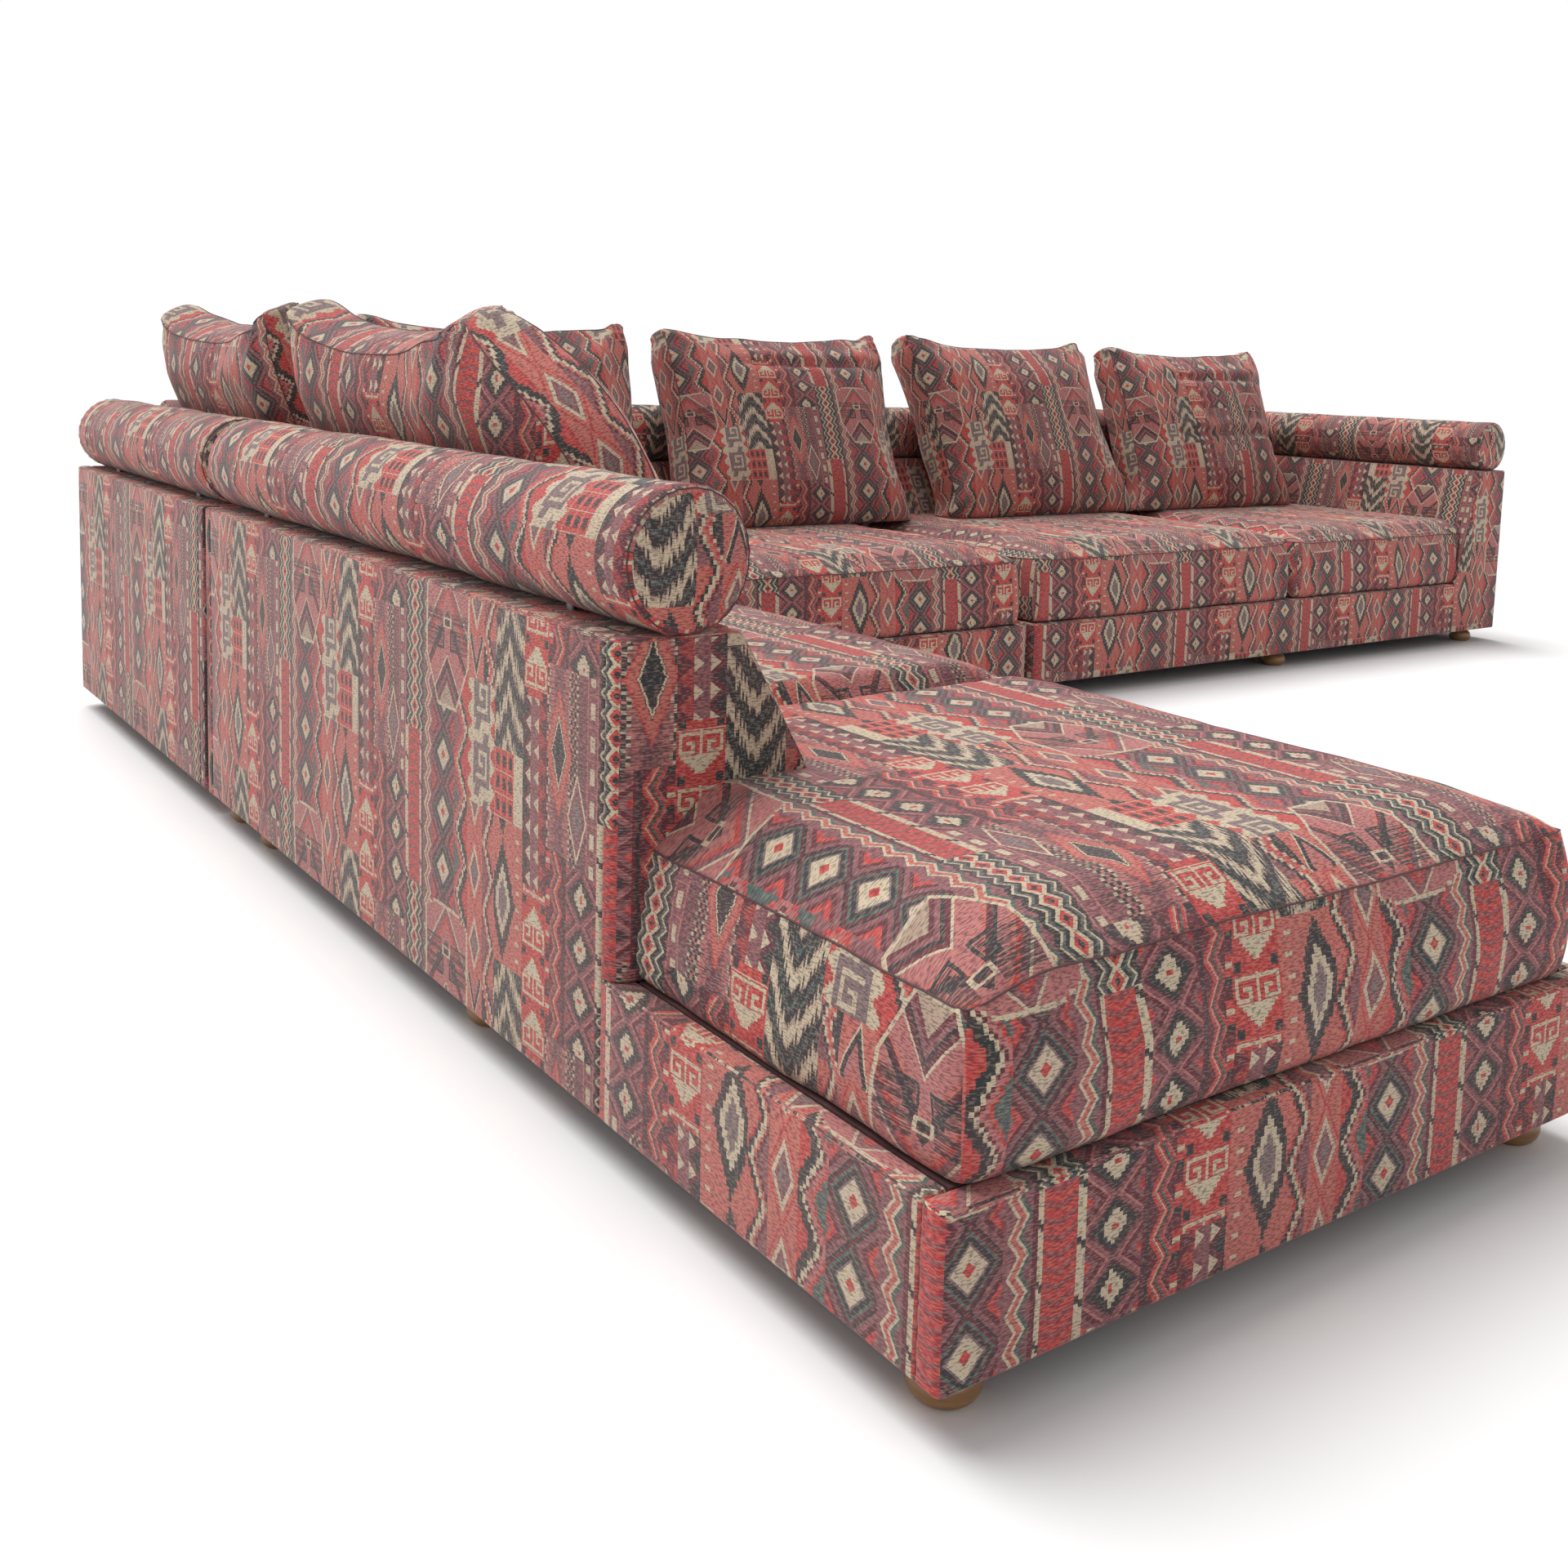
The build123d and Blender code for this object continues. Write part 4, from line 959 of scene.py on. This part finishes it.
def back(name, run, middle, shift, slid, backs, left=-HALF, channels=(), slump=0.0, sag=0.02):
    """A loose back cushion with boxed edges and pointed ears, leaning on the bolster."""
    left, right = (left, TAPER - HALF), (HALF, HALF - TAPER)
    wide = right[0] - left[0]
    nx, ny, nz = round(wide / STEP), round(TALL / STEP), 5
    (a, b, c), faces, index = lattice(nx, ny, nz)
    low_side = left[0] + (left[1] - left[0]) * b - slump * np.sin(math.pi * b ** 1.5) * 0.15
    high_side = right[0] + (right[1] - right[0]) * b
    draw = 0.012 * np.sin(math.pi * np.clip(b, 0, 1))
    low_side, high_side = low_side + draw, high_side - draw
    x = low_side + (high_side - low_side) * a + slid[0] + (slid[1] - slid[0]) * b
    dip = sag * np.sin(math.pi * a) ** 0.8 * np.clip(b * 2 - 1, 0, 1) ** 1.5
    y = -BOTTOM + TALL * b - dip
    ear = np.exp(-(a / 0.07) ** 2) + np.exp(-((1 - a) / 0.07) ** 2)
    ear = ear * np.exp(-((1 - b) / 0.1) ** 2)
    y = y + 0.016 * ear - 0.02 * slump * np.exp(-(a / 0.1) ** 2 - ((1 - b) / 0.12) ** 2)
    ex, ey = np.minimum(a, 1 - a) * wide, np.minimum(b, 1 - b) * TALL
    crown = rise(ex, 0.19) * rise(ey, 0.19)
    border = 0.05 - 0.022 * np.exp(-(np.minimum(ex, 0.5) + np.minimum(ey, 0.5)) / 0.03)
    thick = border + 0.042 * crown
    z = thick * (c * 2 - 1)
    bulge = 0.008 * (1 - (c * 2 - 1) ** 2)
    x = x + np.where(a <= 0, -bulge, np.where(a >= 1, bulge, 0))
    y = y + np.where(b >= 1, bulge, 0)
    origin, along, upward, forward = back_frame(run, middle)
    frame_axes = np.array([tuple(along), tuple(upward), tuple(forward)])
    local = np.stack([x, y, z], axis=1)
    points = np.array(tuple(origin)) + local @ frame_axes
    weave = []
    for side, corners in faces:
        for i in corners:
            px, py, pz = local[i]
            if side in ("top", "bottom"):
                u, v = px, py
            elif side in ("front", "rear"):
                u, v = px, py + pz
            else:
                u, v = pz + 0.3, py
            weave.append((shift[0] - u, shift[1] - v))
    piece = make_piece(name + "_cloth", points, faces, weave, CLOTH)
    seams = [rim_path(index, nx, ny, nz), rim_path(index, nx, ny, 0)]
    crease(piece, [s + s[:1] for s in seams], 0.5)
    held = np.where(b <= 0, 0.8, 0.0)
    return {"piece": piece, "name": name, "held": held, "cap": 0.026, "seams": seams, "run": run,
            "origin": np.array(tuple(origin)), "axes": frame_axes, "channels": channels,
            "left": left, "right": right, "backs": backs}


REAR_MIDDLES = [WEST + (EAST - WEST) * share for share in (0.2247, 0.4292, 0.6482, 0.8421)]
LEFT_MIDDLE = CORNER_SOUTH + 0.435
backs = [
    back("chaise_back_cushion", "west", LEFT_MIDDLE - 0.86, (0.071, -0.014), (-0.02, -0.033), (LEFT_BACK,),
         -HALF - 0.25, slump=1.0, sag=0.05),
    back("corner_left_back_cushion", "west", LEFT_MIDDLE, (0.071, -0.014), (-0.02, -0.033),
         (LEFT_BACK, REAR_BACK), sag=0.035),
    back("corner_rear_back_cushion", "north", REAR_MIDDLES[0], (0.071, -0.014), (0.0, 0.03), (REAR_BACK,)),
    back("centre_back_cushion", "north", REAR_MIDDLES[1], (0.071, -0.014), (0.0, 0.03), (REAR_BACK,),
         channels=(0.78,)),
    back("right_back_cushion", "north", REAR_MIDDLES[2], (0.039, 0.003), (0.02, -0.033), (REAR_BACK,)),
    back("arm_back_cushion", "north", REAR_MIDDLES[3], (0.089, -0.005), (0.0, 0.033), (REAR_BACK,),
         channels=(0.42, 0.76)),
]

swell([(one["piece"], one["held"], one["cap"]) for one in seats + backs])


def clear_of_bolster(points, run):
    """Keeps a leaning cushion in front of the bolster behind it."""
    axis, outer, sense = (0, WEST, 1) if run == "west" else (1, NORTH, -1)
    across = (points[:, axis] - outer) * sense - BOLSTER_RADIUS
    up = points[:, 2] - BOLSTER_HEIGHT
    distance = np.hypot(across, up)
    need = BOLSTER_RADIUS + 0.003
    push = np.where(distance < need, need / np.maximum(distance, 1e-6), 1.0)
    points[:, axis] = outer + sense * (BOLSTER_RADIUS + across * push)
    points[:, 2] = BOLSTER_HEIGHT + up * push
    return points


def finish_cushion(one, points, radius):
    """Sets the last shape of a cushion, lets it ride on its own body and adds its piping."""
    set_points(one["piece"].data, points)
    dress(one["piece"], one["name"], one["name"])
    seams = [[tuple(points[i]) for i in seam] for seam in one["seams"]]
    edging(one["name"] + "_edging", seams, one["name"], radius)


for one in seats:
    piece = one["piece"]
    refine(piece)
    points, normals = points_of(piece.data), normals_of(piece.data)
    wave = rumple(points, 6.0, 2.0) * 0.0035 + rumple(points, 15.0, 4.0) * 0.0015
    points = points + normals * wave[:, None]
    points[:, 0] = np.clip(points[:, 0], one["low"][0] + 0.001, one["high"][0] - 0.001)
    points[:, 1] = np.clip(points[:, 1], one["low"][1] + 0.001, one["high"][1] - 0.001)
    points[:, 2] = np.clip(points[:, 2], DECK_TOP + 0.0005, SEAT_TOP + 0.001)
    points = clear_of_backs(points, one["backs"])
    finish_cushion(one, points, 0.0011)

for one in backs:
    piece = one["piece"]
    refine(piece)
    points, normals = points_of(piece.data), normals_of(piece.data)
    local = (points - one["origin"]) @ one["axes"].T
    wave = rumple(points, 5.0, 7.0) * 0.007 + rumple(points, 12.0, 8.0) * 0.003
    for side, corner in ((-1, one["left"][1]), (1, one["right"][1])):
        dx, dy = local[:, 0] - corner, local[:, 1] - (TALL - BOTTOM)
        reach = np.hypot(dx, dy)
        turn = np.arctan2(dy, dx * side)
        wave = wave + 0.006 * np.cos(turn * 9 + side) * np.exp(-reach / 0.16) * np.clip(reach / 0.05, 0, 1)
    dx, dy = local[:, 0] - one["left"][0], local[:, 1] + BOTTOM
    reach = np.hypot(dx, dy)
    wave = wave + 0.007 * np.cos(np.arctan2(dy, dx) * 8) * np.exp(-reach / 0.14) * np.clip(reach / 0.04, 0, 1)
    for share in one["channels"]:
        height = share * TALL - BOTTOM
        front = np.clip((local[:, 2] - 0.045) / 0.03, 0, 1)
        start = np.clip((local[:, 0] + 0.2) / 0.12, 0, 1)
        wave = wave - 0.013 * np.exp(-((local[:, 1] - height) / 0.011) ** 2) * front * start
        wave = wave + 0.005 * np.exp(-((local[:, 1] - height - 0.03) / 0.02) ** 2) * front * start
    local = local + (normals @ one["axes"].T) * wave[:, None]
    # The rear stays in front of the bolster all the way as the cushion is lifted
    past = np.maximum(REAR_SOFT - local[:, 2], 0)
    local[:, 2] = np.maximum(local[:, 2], REAR_SOFT) - REAR_GIVE * (1 - np.exp(-past / REAR_GIVE))
    points = one["origin"] + local @ one["axes"]
    points = clear_of_bolster(points, one["run"])
    points = clear_of_backs(points, one["backs"])
    points[:, 2] = np.maximum(points[:, 2], SEAT_TOP + 0.0025)
    finish_cushion(one, points, 0.001)


# Floor, light and camera
SKY, FADE = 0.47, 1.0
LAMPS = (("key", (0.12, -0.5, -1.0), 50, 2.9),)


def floor():
    """A white floor that keeps the sofa's shadow."""
    mesh = bpy.data.meshes.new("floor")
    size = 400
    corners = [(-size, -size, 0), (size, -size, 0), (size, size, 0), (-size, size, 0)]
    mesh.from_pydata(corners, [], [(0, 1, 2, 3)])
    piece = placed("floor", mesh)
    f = Finish("floor_white")
    x, y, _ = f.parts(f.node("TexCoord").outputs["Object"])
    away = abs(y).fit(1, -NORTH).larger(abs(x - (WEST + CHAISE_EAST) / 2).fit(1, -0.475))
    away = away.smaller(abs(x).fit(1, -EAST).larger(abs(y - (CORNER_SOUTH + NORTH) / 2).fit(1, -0.524)))
    path = f.node("LightPath")
    seen = Value(f, path.outputs["Is Camera Ray"])
    colour = f.mix(seen, (0.85, 0.85, 0.85, 1), (0.98, 0.98, 0.98, 1))
    diffuse = f.node("BsdfDiffuse", sockets={"Color": colour})
    white = f.node("Emission")
    share = away.fit(1 / FADE, -0.15).larger(0).smaller(1) * seen
    both = f.node("MixShader", sockets={0: share, 1: diffuse.outputs[0], 2: white.outputs[0]})
    f.node("OutputMaterial", sockets={0: both.outputs[0]})
    mesh.materials.append(f.material)


def daylight():
    """A white surround and a soft sun from above and behind."""
    world = bpy.data.worlds.new("surround")
    bpy.context.scene.world = world
    world.use_nodes = True
    tree = world.node_tree
    tree.nodes.clear()
    made = [tree.nodes.new("ShaderNode" + kind) for kind in
            ("LightPath", "Math", "Math", "MapRange", "Background", "OutputWorld")]
    path, seen, either, strength, background, output = made
    seen.operation = either.operation = "MAXIMUM"
    strength.inputs["To Min"].default_value = SKY
    strength.inputs["To Max"].default_value = 1.0
    background.inputs["Color"].default_value = (1, 1, 1, 1)
    for start, end in ((path.outputs["Is Camera Ray"], seen.inputs[0]),
                       (path.outputs["Is Glossy Ray"], seen.inputs[1]),
                       (seen.outputs[0], either.inputs[0]),
                       (path.outputs["Is Transmission Ray"], either.inputs[1]),
                       (either.outputs[0], strength.inputs["Value"]),
                       (strength.outputs[0], background.inputs["Strength"]),
                       (background.outputs[0], output.inputs[0])):
        tree.links.new(start, end)
    for name, toward, angle, power in LAMPS:
        lamp = bpy.data.lights.new(name, "SUN")
        lamp.energy, lamp.angle = power, math.radians(angle)
        placed(name, lamp).rotation_euler = Vector(toward).to_track_quat("-Z", "Y").to_euler()


def viewpoint():
    """The camera at the photograph's place and angle."""
    camera = bpy.data.cameras.new("camera")
    camera.sensor_width = 36
    camera.lens = 1950.93 / 1920 * 36
    camera.shift_y = (664.54 - 960) / 1920
    yaw, pitch, roll = math.radians(35.17), math.radians(6.42), math.radians(1.64)
    ahead = Vector((math.sin(yaw) * math.cos(pitch), math.cos(yaw) * math.cos(pitch), -math.sin(pitch)))
    right = Vector((math.cos(yaw), -math.sin(yaw), 0))
    up = right.cross(ahead)
    across = math.cos(roll) * right + math.sin(roll) * up
    upright = -math.sin(roll) * right + math.cos(roll) * up
    holder = placed("camera", camera)
    turn = Matrix((across, upright, -ahead)).transposed().to_4x4()
    holder.matrix_world = Matrix.Translation((-2.84856, -2.40224, 0.84122)) @ turn
    bpy.context.scene.camera = holder


floor()
daylight()
viewpoint()
bpy.context.scene.view_settings.view_transform = "Standard"
